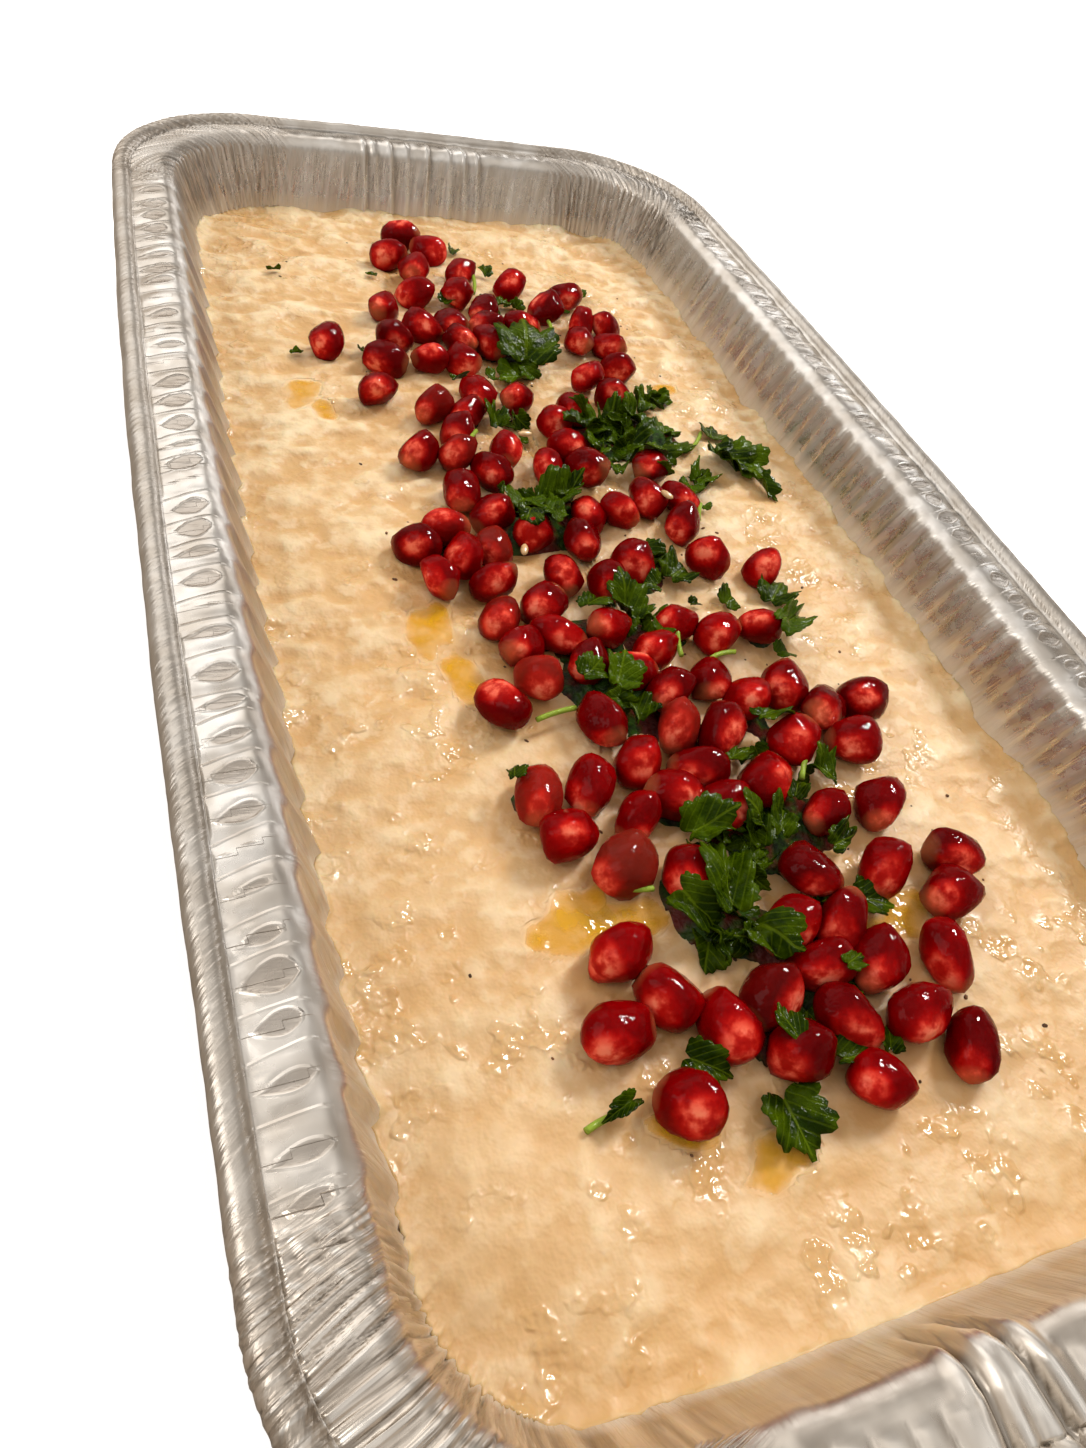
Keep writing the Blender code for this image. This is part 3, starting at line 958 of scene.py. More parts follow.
# %% Aril layout
FAR_ARILS = (
    (126, -10), (120, -4.5), (115.5, -16), (107, -11, 2), (101, 14.5), (96, -13, -1.5, 29),
    (87, -23.5, 3, 20), (81.5, 29, 36), (80, -7, 0.5, 11.5), (77.5, -15), (71.5, -24, -7.5, 0.5, 9, 24.5, 33),
    (63.5, -28, -17, -9), (60.5, 31.5), (55, 21), (47.5, -10.5, 0, 25.5), (43, -21, -13.5, 13.5),
    (37, 6.5), (33.5, -18), (26, -28.5, -20, -9, 6.5), (19.5, -14.5, -1, 7.5, 24), (12.5, -22.5),
    (8.5, 18.5, 27), (4, -18.5, 3, 10), (0, -29, -10.5, 24), (-3.5, -36, -20, -1), (-7.5, -28.5),
    (-12, 7.5, 24.5), (-14.5, -23.5, -9), (-17, -0.5), (-22, -15.5), (-25, -25), (-29.5, -5.5, 10),
    (-33, -22, -16, 17, 26.5), (-36.5, -11, 1.5), (-39.5, -23, -4.5),
)
NEAR_ARILS = (
    # (x, y, heading, 1 if it lies on others)
    (10.5, -44, 60, 0), (0.5, -46, 40, 0), (16, -50, 42, 1), (26, -49, 75, 0), (-14.5, -51.5, 97, 0),
    (30, -53.5, 30, 0), (-1, -55, 50, 0), (6, -57.5, 50, 1), (20, -60.5, 35, 0), (-11, -61, 45, 0),
    (-21, -64, 65, 0), (-1.5, -64.5, -15, 0), (9, -68.5, 45, 1), (-8, -68.5, -20, 0), (1.5, -70, 20, 0),
    (-14, -72, 40, 0), (-28, -72.5, 20, 0), (18.5, -76, 25, 0), (-19.5, -77.5, 35, 0), (-11.5, -83, 95, 0),
    (9, -87, -45, 1), (22.5, -88.5, 45, 0), (1.5, -95, 30, 0), (9.5, -96.5, 50, 0), (2, -101.5, 0, 0),
    (-22.5, -101.5, -60, 0), (12.5, -103, 35, 0), (-6.5, -104.5, 30, 1), (-15.5, -106.5, 92, 0),
    (3, -109.5, -60, 0), (14, -112, 15, 0), (-6.5, -112.5, 0, 0),
)
LONE_ARILS = [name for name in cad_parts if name.startswith("aril_")]
LONE_MOVES = {
    # name: (right, along, heading)
    "aril_03": (-2, -1, 40), "aril_04": (-1, -0.5, 0), "aril_05": (-1.5, 2, -20), "aril_06": (-2, 2.5, 55),
    "aril_07": (0, 1, -20), "aril_08": (1, 4, 10), "aril_09": (0, 3.5, 90), "aril_10": (2, 3, 55),
    "aril_11": (0, 7, -30), "aril_12": (-0.5, 4, -42), "aril_13": (0.5, 2.5, -5), "aril_14": (1.5, 1, 25),
    "aril_15": (2, 0.5, 75), "aril_16": (1, 0, -60), "aril_17": (3.5, 0, -80),
}


def lay_arils(rng):
    """The arils' places in millimetres, and each one's heading and whether it lies on others."""
    rows = [(x, row[0], rng.uniform(0, 360), 0.4 * rng.random()) for row in FAR_ARILS for x in row[1:]]
    rows += NEAR_ARILS
    for name in LONE_ARILS:
        low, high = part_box(name)
        middle = (low + high) / 2 / MM
        right, along, heading = LONE_MOVES.get(name, (0, 0, rng.uniform(0, 360)))
        rows.append((middle.x + right, middle.y + along, heading, 0))
    return np.array(rows)


aril_rng = random.Random(11)
aril_rows = lay_arils(aril_rng)
print(len(aril_rows), "arils,", len(LONE_ARILS), "of them apart")

# %% [markdown]
# ## Letting the arils settle
# Each aril is an ellipsoid with its own size and turn. They start a little high over their
# places, sink in small steps and push each other apart where they would overlap, which stacks
# them two deep where they are crowded, as real ones are. It is a simple form of what a physics
# engine does, and it gives the same result on every run.

# %% Settling
def turns_of(headings, rng):
    """Turns that lie mostly flat: the given heading, a small tilt of the long side, and any roll."""
    turns = []
    for heading in headings:
        level = Matrix.Rotation(math.radians(heading + rng.choice((0, 180))), 3, "Z")
        tilt = Matrix.Rotation(rng.gauss(0, 0.25), 3, "Y")
        roll = Matrix.Rotation(rng.uniform(0, 2 * math.pi), 3, "X")
        turns.append(np.array(level @ tilt @ roll))
    return np.array(turns)


def support(radii, turns, direction):
    """How far each turned ellipsoid reaches from its centre in a direction."""
    return np.linalg.norm(radii * np.einsum("nji,nj->ni", turns, direction), axis=1)


def settle(homes, starts, radii, turns, rounds=260):
    """Centres of the arils after they have sunk on to the dip and one another."""
    ground = np.array([dip_height(x, y) for x, y in homes])
    centres = np.column_stack([homes, ground + radii[:, 2] + 1.0 + 8.0 * starts])
    pairs = [(i, j) for i in range(len(homes)) for j in range(i) if np.hypot(*(homes[i] - homes[j])) < 18]
    i, j = np.array(pairs).T
    for _ in range(rounds):
        centres[:, 2] -= 0.12
        centres[:, :2] += 0.05 * (homes - centres[:, :2])
        gap = centres[i] - centres[j]
        distance = np.linalg.norm(gap, axis=1)
        along = gap / distance[:, None]
        reach = support(radii[i], turns[i], along) + support(radii[j], turns[j], along)
        push = np.clip(0.92 * reach - distance, 0, 1.0)[:, None] * along * 0.4
        np.add.at(centres, i, push)
        np.add.at(centres, j, -push)
        down = np.tile((0.0, 0.0, 1.0), (len(centres), 1))
        lowest = ground + 0.85 * support(radii, turns, down) - 0.2
        centres[:, 2] = np.maximum(centres[:, 2], lowest)
    return centres


def aril_size(y, rng):
    """An aril's three half lengths in millimetres. Those of the near half are a little larger."""
    size = 0.88 + 0.06 * smooth((-30 - y) / 25)
    return size * rng.uniform(5.3, 6.4), size * rng.uniform(4.1, 4.8), size * rng.uniform(3.8, 4.5)


aril_radii = np.array([aril_size(row[1], aril_rng) for row in aril_rows])
aril_turns = turns_of(aril_rows[:, 2], aril_rng)
aril_centres = settle(aril_rows[:, :2], aril_rows[:, 3], aril_radii, aril_turns)
print("arils reach", round(aril_centres[:, 2].max() + 4 - DIP_LEVEL, 1), "mm over the dip")

# %% [markdown]
# ## Filling the tray with dip
# The dip is another tube of rings. It starts as a flat bottom, climbs the inside of the wall and
# turns over at its edge, half a foil's thickness into the wall so that no gap shows. From there
# the rings close in towards a line down the middle. Its points also carry three masks: "oil" under
# the pools, "juice" where the arils wet it, and "crest", the small relief's height, by which the
# hollows are tan and the crests pale: partly oil lying in the hollows, partly painted shade and highlight.

# %% Dip
def wall_ring(height):
    """The section's inside at a height on the wall, pushed half way into the foil."""
    wall = [ring for ring in inside if ring[4] < 0]
    offset, out, up, past = (
        float(np.interp(height, [r[1] for r in wall], [r[k] for r in wall])) for k in (0, 2, 3, 4)
    )
    return offset + FOIL / 2, height, out, up, past


def edge_height(x, y):
    """How high the dip's edge creeps up the foil."""
    slow, quick = noise.noise((x / 9, y / 9, 3.0)), noise.noise((x / 2.5, y / 2.5, 5.0))
    return dip_height(x, y) + 0.8 + 1.2 * slow + 0.5 * quick


def juice_share(x, y):
    """How wet the dip is from the arils near a point."""
    near = np.hypot(aril_centres[:, 0] - x, aril_centres[:, 1] - y)
    return float(np.exp(-((near / 6.5) ** 2)).sum())


def dip_edge(line, step):
    """Where the dip's edge touches the foil at one step of the line."""
    x, y, _ = place_on_section(line, step, wall_ring(DIP_LEVEL))
    return Vector(place_on_section(line, step, wall_ring(edge_height(x, y))))


def make_dip(materials):
    line = ridge_line(300, 90, 70)
    low_rings, closing = [wall_ring(height) for height in (1.6, 8.0, 16.0)], 74
    mesh = tube("dip_spread", len(line["x"]), len(low_rings) + 1 + closing)
    spine_end = HALF_LENGTH - HALF_WIDTH
    edges = [dip_edge(line, step) for step in range(len(line["x"]))]
    places = []
    masks = {"oil": [], "juice": [], "crest": []}
    for step, ring in zip(read_layer(mesh, "step"), read_layer(mesh, "ring")):
        if ring < len(low_rings):
            places.append(place_on_section(line, step, low_rings[ring]))
            shares = (0.0, 0.0, 0.5)
        else:
            edge = edges[step]
            spine = Vector((0, min(max(edge.y, -spine_end), spine_end), 0))
            x, y, _ = edge.lerp(spine, 0.97 * ((ring - len(low_rings)) / closing) ** 1.12)
            rise = edge.z - dip_height(edge.x, edge.y)
            inward = math.hypot(edge.x - x, edge.y - y)
            places.append((x, y, dip_height(x, y) + rise * math.exp(-inward / 1.1)))
            # the last is "crest", the small relief's height, for painted shade in the hollows and highlight
            # on the crests
            shares = (oil_share(x, y), juice_share(x, y), 0.5 + 0.9 * dip_lumps(x, y))
        for mask, share in zip(masks.values(), shares):
            mask.append(share)
    move_points(mesh, np.array(places) * MM)
    for name, values in masks.items():
        store_mask(mesh, name, values)
    return finish_piece("dip_spread", mesh, materials, ["dip"])


# %% [markdown]
# ## The dip's finish
# The dip is a pale cream of aubergine and sesame paste. It lets light in a little way, so it has
# subsurface scattering. Thicker, oilier patches are tan, the skin is speckled with tiny dark bits
# of char, and an oily film with fine wrinkles catches the light here and there. Shade is painted
# darker into the hollows of the relief and its lumps, and highlight paler on to their crests.

# %% Dip material
def cream_colour(tree, place, near_end, lumps, crisp):
    """Cream with painted shade in the hollows and painted highlight on the crests, oily patches and the
    juice's blush.
    """
    crest = read_mask(tree, "crest")
    cream = mix(tree, near_end, (0.83, 0.61, 0.345), (0.745, 0.485, 0.235))
    stains = (
        # (share of the colour, colour)
        # painted shade in the relief's hollows and painted highlight on its crests, with oil lying in the
        # hollows
        (ramp(tree, crest, 0.62, 0.15, 0.75), (0.68, 0.39, 0.145)),
        (ramp(tree, crest, 0.5, 0.95, 0.6), (0.93, 0.76, 0.49)),
        # painted shade and highlight of the bumped lumps: darker where the bump is low, paler where it is
        # high
        (times(tree, ramp(tree, lumps, 0.45, 0.0, 0.65), crisp), (0.62, 0.35, 0.13)),
        (times(tree, ramp(tree, lumps, 0.55, 0.95, 0.65), crisp), (0.97, 0.81, 0.55)),
        (times(tree, patches(tree, place, 26.0, 0.4, 0.65), 0.35), (0.72, 0.42, 0.16)),
        (times(tree, patches(tree, place, 5.0, 0.45, 0.7, 3.0), 0.25), (0.66, 0.36, 0.12)),
        (ramp(tree, read_mask(tree, "juice"), 0.35, 2.2, 0.55), (0.66, 0.27, 0.05)),
        (ramp(tree, read_mask(tree, "oil"), 0.0, 0.7, 0.5), (0.76, 0.42, 0.05)),
    )
    for share, colour in stains:
        cream = mix(tree, share, cream, colour)
    return cream


def make_dip_material():
    material, tree, shader, place = new_material(
        "aubergine_cream",
        IOR=1.45,
        Subsurface_Weight=0.3,
        Subsurface_Radius=(1.0, 0.55, 0.25),
        Subsurface_Scale=1.8 * MM,
    )
    near_end = ramp(tree, parts_of(tree, place)["Y"], 60 * MM, -120 * MM)
    crisp = math_of(tree, "MULTIPLY_ADD", near_end, -0.55, 1.0)
    lumps = patches(tree, place, 4.0, 0.25, 0.75, 3.0)
    put(tree, shader.inputs["Base Color"], cream_colour(tree, place, near_end, lumps, crisp))
    wet = patches(tree, place, 14.0, 0.42, 0.6, 3.0)
    beads = times(tree, patches(tree, place, 5.0, 0.5, 0.6), wet)
    rough = math_of(tree, "MULTIPLY_ADD", wet, -0.05, 0.57)
    put(tree, shader.inputs["Roughness"], math_of(tree, "MULTIPLY_ADD", beads, -0.39, rough))
    wrinkles = times(tree, patches(tree, place, 1.9, 0.2, 0.8, 1.0), times(tree, beads, 2.2))
    height = math_of(tree, "MULTIPLY_ADD", lumps, times(tree, crisp, 2.9), wrinkles)
    under_oil = ramp(tree, read_mask(tree, "oil"), 0.1, 0.0)
    add_bump(tree, shader, times(tree, height, under_oil), 0.8, 0.2)
    return material


dip = make_dip([make_dip_material()])

# %% [markdown]
# ## The arils
# An aril is a juicy seed coat pressed flat by its neighbours in the fruit, so it is a rounded
# pebble with a few soft flats and one narrow, paler end. An icosphere is pulled to that form:
# each point moves out to the nearest of a handful of soft planes.

# %% Arils
GLOW_TOWARD = Vector((-0.42, -0.66, 0.5)).normalized()  # away from the window, where light gathers


def pebble(direction, planes, hardness):
    """How far the soft-edged pebble reaches in a direction: close to the nearest plane."""
    total = 0.0
    for normal, distance in planes:
        toward = direction.dot(normal)
        if toward > 0:
            total += (toward / distance) ** hardness
    return total ** (-1 / hardness)


def random_planes(rng):
    """The flats of one aril: its two ends, and five to seven round its waist."""
    planes = [(Vector((1, 0, 0)), rng.uniform(1.0, 1.15)), (Vector((-1, 0, 0)), rng.uniform(0.95, 1.05))]
    for end, near, far in ((1, 0.86, 0.98), (-1, 0.92, 1.02)):
        start = rng.uniform(0, 2)
        for k in range(3):
            angle = start + 2 * math.pi * k / 3 + rng.uniform(-0.3, 0.3)
            normal = Vector((0.72 * end, 0.69 * math.cos(angle), 0.69 * math.sin(angle)))
            planes.append((normal, rng.uniform(near, far)))
    count = rng.choice((5, 5, 6, 7))
    start = rng.uniform(0, 6)
    for k in range(count):
        angle = start + 2 * math.pi * k / count + rng.uniform(-0.3, 0.3)
        lean = rng.uniform(-0.3, 0.45)
        normal = Vector((lean, math.cos(angle), math.sin(angle))).normalized()
        planes.append((normal, rng.uniform(0.84, 1.0)))
    return planes


def make_arils(materials):
    rng = random.Random(5)
    bm = bmesh.new()
    tone = bm.verts.layers.float_color.new("tone")
    for centre, radii, turn in zip(aril_centres, aril_radii, aril_turns):
        planes, shade, pale = random_planes(rng), rng.random(), rng.random()
        hardness, taper = rng.uniform(8, 14), rng.uniform(-0.02, 0.1)
        made = bmesh.ops.create_icosphere(bm, subdivisions=3, radius=1)["verts"]
        turn = Matrix(turn.tolist())
        glow_way = GLOW_TOWARD + Vector((rng.gauss(0, 0.35), rng.gauss(0, 0.35), rng.gauss(0, 0.25)))
        glow_at, glow_size = (turn.transposed() @ glow_way).normalized(), rng.uniform(0.25, 0.55)
        for vert in made:
            direction = vert.co.normalized()
            reach = pebble(direction, planes, hardness) ** 0.72
            reach *= 1.0 + 0.04 * noise.noise(direction * 1.8 + Vector(centre))
            narrow = 1 - taper * direction.x
            across = (direction.y * radii[1] * narrow, direction.z * radii[2] * narrow)
            local = Vector((direction.x * radii[0], *across)) * reach
            glow = smooth((direction.dot(glow_at) - 1 + glow_size) / glow_size)
            vert[tone] = (shade, pale, 0.5 + 0.5 * direction.x, glow)
            vert.co = (Vector(centre) + turn @ local) * MM
    bmesh.ops.recalc_face_normals(bm, faces=bm.faces)
    stood_for = [*LONE_ARILS, "garnish_heap"]
    mesh = mesh_of(bm, "pomegranate_arils")
    return finish_piece("pomegranate_arils", mesh, materials, stood_for)


# %% [markdown]
# ## The arils' finish
# Aril flesh is clear and deep red under a tight glossy skin. Light that enters on the lit side
# gathers on the far side as a warm glow, which a real renderer would need caustics for. Here the
# glow is a mask worked out from the light's direction when the arils are made.

# %% Aril material
def make_aril_material():
    material, tree, shader, place = new_material(
        "aril_flesh",
        Roughness=0.06,
        IOR=1.36,
        Specular_IOR_Level=0.09,
        Subsurface_Weight=0.3,
        Subsurface_Radius=(1.0, 0.06, 0.03),
        Subsurface_Scale=2.0 * MM,
    )
    tone = add_node(tree, "Attribute", attribute_name="tone").outputs
    shade, pale, along = add_node(tree, "SeparateColor", {"Color": tone["Color"]}).outputs
    cloudy = math_of(tree, "MULTIPLY_ADD", patches(tree, place, 2.5, 0.35, 0.65, 3.0), 0.6, 0.4)
    glow = times(tree, tone["Alpha"], cloudy)
    flesh = mix(tree, shade, (0.11, 0.0001, 0.0006), (0.26, 0.0005, 0.0012))
    tints = (
        # (share of the colour, colour): dark clouds, the glow, its heart, the pale end, the pale ones
        (times(tree, patches(tree, place, 3.5, 0.4, 0.65), 0.4), (0.06, 0.0001, 0.0006)),
        (glow, (0.85, 0.004, 0.003)),
        (math_of(tree, "POWER", glow, 4.0), (1.0, 0.26, 0.15)),
        (ramp(tree, along, 0.86, 1.0, 0.3), (0.75, 0.30, 0.12)),
        (ramp(tree, pale, 0.9, 1.0, 0.12), (0.75, 0.12, 0.06)),
    )
    for share, colour in tints:
        flesh = mix(tree, share, flesh, colour)
    put(tree, shader.inputs["Base Color"], flesh)
    add_bump(tree, shader, patches(tree, place, 1.9, 0.3, 0.8), 0.6, 0.2)
    return material


arils = make_arils([make_aril_material()])

# %% [markdown]
# ## Parsley leaves
# Flat-leaf parsley has toothed lobes on a wedge-shaped base. A leaf here is a disc whose edge is
# pulled to that outline, with inner rings to hold the crease and the curl that come later. A
# grid cut to the outline would do too, but its edge would be ragged.

# %% Flat leaf
LEAF_OUTLINE = ((0, 1.0), (26, 0.74), (50, 0.94), (84, 0.7), (112, 0.72), (150, 0.4), (180, 0.16))
LEAF_ANGLES, LEAF_REACHES = zip(*((math.radians(a), r) for a, r in LEAF_OUTLINE))


def leaf_reach(angle):
    """The leaf's edge in shares of its half length: five lobes with teeth on them."""
    across = abs(angle)
    reach = float(np.interp(across, LEAF_ANGLES, LEAF_REACHES))
    tooth = abs(math.sin(across * 9.0 + 1.57)) ** 0.8
    return reach * (1 - 0.13 * (1 - tooth) * smooth((2.6 - across) / 0.4))


def flat_leaf(bm):
    """A disc of rings whose edge is pulled to the leaf's outline. It returns its faces."""
    rings = 3
    made = list(bmesh.ops.create_circle(bm, segments=54, radius=1)["verts"])
    outline = list({edge for vert in made for edge in vert.link_edges})
    shares = {vert: 1.0 for vert in made}
    for ring in range(1, rings + 1):
        grown = bmesh.ops.extrude_edge_only(bm, edges=outline)["geom"]
        verts = [g for g in grown if isinstance(g, bmesh.types.BMVert)]
        outline = [g for g in grown if isinstance(g, bmesh.types.BMEdge)]
        shares.update({vert: 1 - ring / (rings + 0.7) for vert in verts})
        made += verts
    bmesh.ops.contextual_create(bm, geom=outline)
    for vert in made:
        angle = math.atan2(vert.co.y, vert.co.x)
        reach = leaf_reach(angle) * shares[vert]
        vert.co = (reach * math.cos(angle), reach * math.sin(angle), 0)
    return list({face for vert in made for face in vert.link_faces})


print("a leaf reaches", leaf_reach(0.0), "at its tip and", round(leaf_reach(0.45), 2), "in a notch")

# %% [markdown]
# ## Chopping and laying a leaf
# Chopped leaves have straight cuts, and none lies flat. bisect_plane is the knife: it cuts the
# flat leaf and clears what lies beyond. Then every point is lifted along the veins, bent both
# ways, turned to the leaf's heading and kept over what the leaf lies on. It also remembers its
# place on the flat leaf in the layer "leaf", for the material to draw the veins by.

# %% Chopped leaf
def chop(bm, faces, rng):
    """Cuts a flat leaf straight across with bisect_plane and keeps the larger part."""
    geom = [*{v for f in faces for v in f.verts}, *{e for f in faces for e in f.edges}, *faces]
    angle = rng.uniform(0, 2 * math.pi)
    knife = Vector((math.cos(angle), math.sin(angle), 0))
    at = knife * rng.uniform(0.15, 0.55)
    result = bmesh.ops.bisect_plane(bm, geom=geom, plane_co=at, plane_no=knife, clear_outer=True)
    return [g for g in result["geom"] if isinstance(g, bmesh.types.BMFace) and g.is_valid]


def add_leaf(bm, rng, place, heading, length, width, curl, pitch=0.0, roll=0.0, cuts=0, rest=None):
    """One leaf: cut, creased along its veins, curled, placed, and laid on the height "rest" gives."""
    faces = flat_leaf(bm)
    for _ in range(cuts):
        faces = chop(bm, faces, rng)
    shade, phase, bend = rng.random(), rng.uniform(0, 6), curl * rng.uniform(0.7, 1.3)
    shade *= 0.35 + 0.65 * smooth((place[1] + 85) / 60)
    turn = Matrix.Rotation(math.radians(heading), 3, "Z")
    turn = turn @ Matrix.Rotation(pitch, 3, "Y") @ Matrix.Rotation(roll, 3, "X")
    on_leaf = bm.verts.layers.float_vector["leaf"]
    for vert in {v for f in faces for v in f.verts}:
        x, y = vert.co.x, vert.co.y
        angle, share = math.atan2(y, x), min(1.0, math.hypot(x, y))
        vert[on_leaf] = (x, y, shade)
        rib = abs(math.sin(3.0 * angle + 1.57)) ** 0.5
        z = 0.36 * abs(y) + 0.12 * share * rib + 0.14 * share ** 2 * math.sin(6 * angle + phase)
        z += 0.12 * share * noise.noise((3 * x, 3 * y, phase))
        x, z = math.sin(bend * x) / bend, z - (1 - math.cos(bend * x)) / bend
        y = math.sin(bend * y) / bend * width
        point = Vector(place) + turn @ (Vector((x, y, z)) * length / 2)
        point.z = max(point.z, rest(point.x, point.y) + 0.25 + 0.3 * share * rib)
        vert.co = point * MM


# %% [markdown]
# ## Bits of stalk
# A cut stalk is a thin rod with a slight bend. A curve with a bevel could make it, but it goes into
# the same mesh as the leaves, so a small disc is spun a short way round a far axis instead.

# %% Stalk
def add_stalk(bm, rng, place, heading, length, radius=0.5):
    """A cut bit of stalk: a small disc spun a little way round a far axis, which bends it."""
    bend = rng.choice((-1, 1)) * rng.uniform(10, 30)
    disc = list(bmesh.ops.create_circle(bm, segments=8, radius=radius * MM, cap_ends=True)["verts"])
    bmesh.ops.rotate(bm, verts=disc, cent=(0, 0, 0), matrix=Matrix.Rotation(math.pi / 2, 3, "X"))
    before = set(bm.verts) - set(disc)
    geom = [*disc, *{e for v in disc for e in v.link_edges}, *{f for v in disc for f in v.link_faces}]
    bmesh.ops.spin(bm, geom=geom, cent=(bend * MM, 0, 0), axis=(0, 0, 1), angle=-length / bend, steps=7)
    made = [vert for vert in bm.verts if vert not in before]
    bmesh.ops.recalc_face_normals(bm, faces=list({f for v in made for f in v.link_faces}))
    turn = Matrix.Translation(Vector(place) * MM) @ Matrix.Rotation(math.radians(heading - 90), 4, "Z")
    bmesh.ops.transform(bm, verts=made, matrix=turn @ Matrix.Translation((0, -length / 2 * MM, 0)))
    for vert in made:
        vert[bm.verts.layers.float_vector["leaf"]] = (0.0, 0.0, 2.0)


# %% [markdown]
# ## Where the parsley lies
# Leaves could be scattered by chance alone, but the eye knows the larger ones by their places. So
# those are listed one by one: where each is, its heading, length and width, how much it curls, how
# high in the heap it lies, and how often the knife went through it. Ruffled clumps of small bits
# fill in between them, and a few cut stalks lie about. All of it is in millimetres and degrees.

# %% Parsley layout
LEAVES = (
    # (x, y, heading, length, width, curl, height in the heap, cuts)
    (4, 123, 70, 10, 0.5, 0.6, 0.3, 1), (10, 110, 100, 9, 0.7, 0.7, 0.5, 1),
    (35, 101, 80, 9, 0.8, 0.4, 0.3, 1), (9, 93, 20, 9, 0.8, 0.8, 0.5, 1),
    (14, 93, 100, 9, 0.7, 0.8, 0.5, 1), (-6, 92, 40, 8, 0.8, 0.8, 0.4, 1),
    (27, 89, 120, 6, 0.6, 0.7, 0.3, 1), (8, 66, 80, 23, 1.05, 0.5, 1.2, 0),
    (5, 60, 200, 14, 1.0, 0.8, 0.9, 1), (-3, 58, 10, 8, 0.8, 0.9, 0.5, 1),
    (-13, 55, 20, 8, 0.6, 0.5, 0.9, 2), (38, 52, 60, 13, 1.0, 0.9, 0.9, 1),
    (34, 48, 200, 12, 1.0, 1.0, 0.9, 1), (-7, 39, 90, 11, 0.8, 0.9, 0.9, 1),
    (-2, 33, 60, 8, 0.6, 0.9, 0.5, 1), (15, 36, 30, 14, 1.0, 1.0, 1.0, 1),
    (22, 38, 80, 14, 1.0, 1.1, 1.1, 1), (29, 39, 120, 14, 1.0, 1.0, 1.1, 1),
    (34, 36, 20, 13, 1.0, 1.1, 1.0, 1), (18, 30, 250, 14, 1.0, 1.1, 1.1, 1),
    (25, 31, 330, 15, 1.0, 1.0, 1.2, 1), (31, 29, 290, 14, 1.0, 1.0, 1.0, 1),
    (37, 31, 45, 11, 1.0, 0.9, 0.6, 1), (13, 27, 200, 13, 1.0, 1.0, 0.9, 1),
    (48, 35, 60, 11, 1.0, 0.8, 0.8, 0), (47, 26, 300, 20, 0.8, 0.5, 0.9, 0),
    (53, 16, 285, 16, 0.4, 0.6, 0.6, 0), (37, 18, 40, 17, 0.6, 0.9, 0.6, 1),
    (33, 14, 250, 11, 0.8, 0.9, 0.5, 1), (34, 8, 70, 7, 0.6, 0.7, 0.3, 1),
    (16, 19, 80, 9, 0.8, 1.2, 0.7, 1), (-11, 8, 60, 14, 1.0, 0.8, 0.9, 1),
    (-4, 10, 20, 16, 0.9, 0.7, 1.0, 1), (-6, 3, 100, 13, 0.9, 0.9, 0.8, 1),
    (1, 12, 40, 10, 0.9, 0.9, 0.8, 1), (-12, 1, 240, 11, 0.8, 0.9, 0.8, 1),
    (13.5, -6, -60, 11, 0.8, 0.8, 0.6, 1), (16, -15, 30, 14, 0.9, 0.6, 0.7, 1),
    (9, -18, 160, 11, 0.8, 0.9, 0.6, 1), (-8, -26, 20, 10, 0.9, 0.8, 0.8, 1),
    (1, -25, 95, 16, 0.8, 0.6, 0.8, 0), (5, -32, 60, 9, 0.8, 0.8, 0.6, 1),
    (17, -23, 10, 7, 0.5, 0.5, 0.4, 2), (25, -23, 40, 11, 0.8, 0.6, 0.4, 1),
    (36, -23, 45, 14, 0.9, 0.6, 0.4, 0), (31, -34, 28, 22, 0.4, 0.5, 0.9, 0),
    (29, -39, 10, 9, 0.7, 0.8, 0.5, 1), (-15, -43, 30, 11, 0.8, 1.0, 0.9, 1),
    (-9, -44, 60, 13, 0.9, 1.0, 1.0, 1), (-7.5, -51, 95, 12, 0.8, 1.0, 0.9, 1),
    (16, -55.5, 10, 14, 0.7, 0.6, 0.7, 1), (6, -63, 20, 9, 0.8, 0.8, 0.5, 1),
    (24, -68.5, 120, 11, 0.9, 0.9, 0.8, 1), (14, -72, 50, 13, 0.5, 0.8, 0.6, 1),
    (-6, -75.5, 10, 16, 0.7, 0.7, 1.1, 0), (4, -78, 80, 17, 0.45, 0.7, 1.0, 1),
    (9, -77, 60, 15, 0.5, 0.8, 0.8, 1), (0, -83.5, 30, 10, 0.8, 0.7, 1.0, 1),
    (17, -82.5, 15, 14, 0.6, 0.8, 0.7, 1), (16.5, -92.5, -30, 11, 0.9, 0.6, 0.5, 0),
    (-7, -88, 80, 23, 0.5, 0.4, 1.3, 0), (-14, -88, -50, 17, 0.6, 1.1, 1.0, 0),
    (-4, -95, -60, 14, 0.8, 0.8, 0.9, 1), (-12, -94, 240, 12, 0.9, 1.1, 0.8, 1),
    (-9, -112, 92, 12, 0.45, 0.5, 0.9, 1), (5, -103.5, 20, 7, 0.8, 0.8, 0.9, 1),
    (-22, -110.5, -40, 12, 0.7, 0.8, 0.4, 1), (0, -115.5, -15, 12, 0.7, 0.7, 0.4, 1),
    (7.5, -115, 60, 8, 0.7, 0.7, 0.4, 1), (-34, -61.5, 70, 6, 0.8, 0.5, 0.9, 1),
    (-33, -113, 200, 10, 0.35, 0.6, 0.5, 0), (-48, 107.5, 10, 7, 0.5, 0.3, 0.2, 2),
    (-21.5, 108, 160, 5, 0.5, 0.4, 0.2, 2), (-48.5, 67.5, 10, 5, 0.6, 0.4, 0.2, 2),
    (-32.5, 68, 80, 5, 0.6, 0.4, 0.2, 2),
)
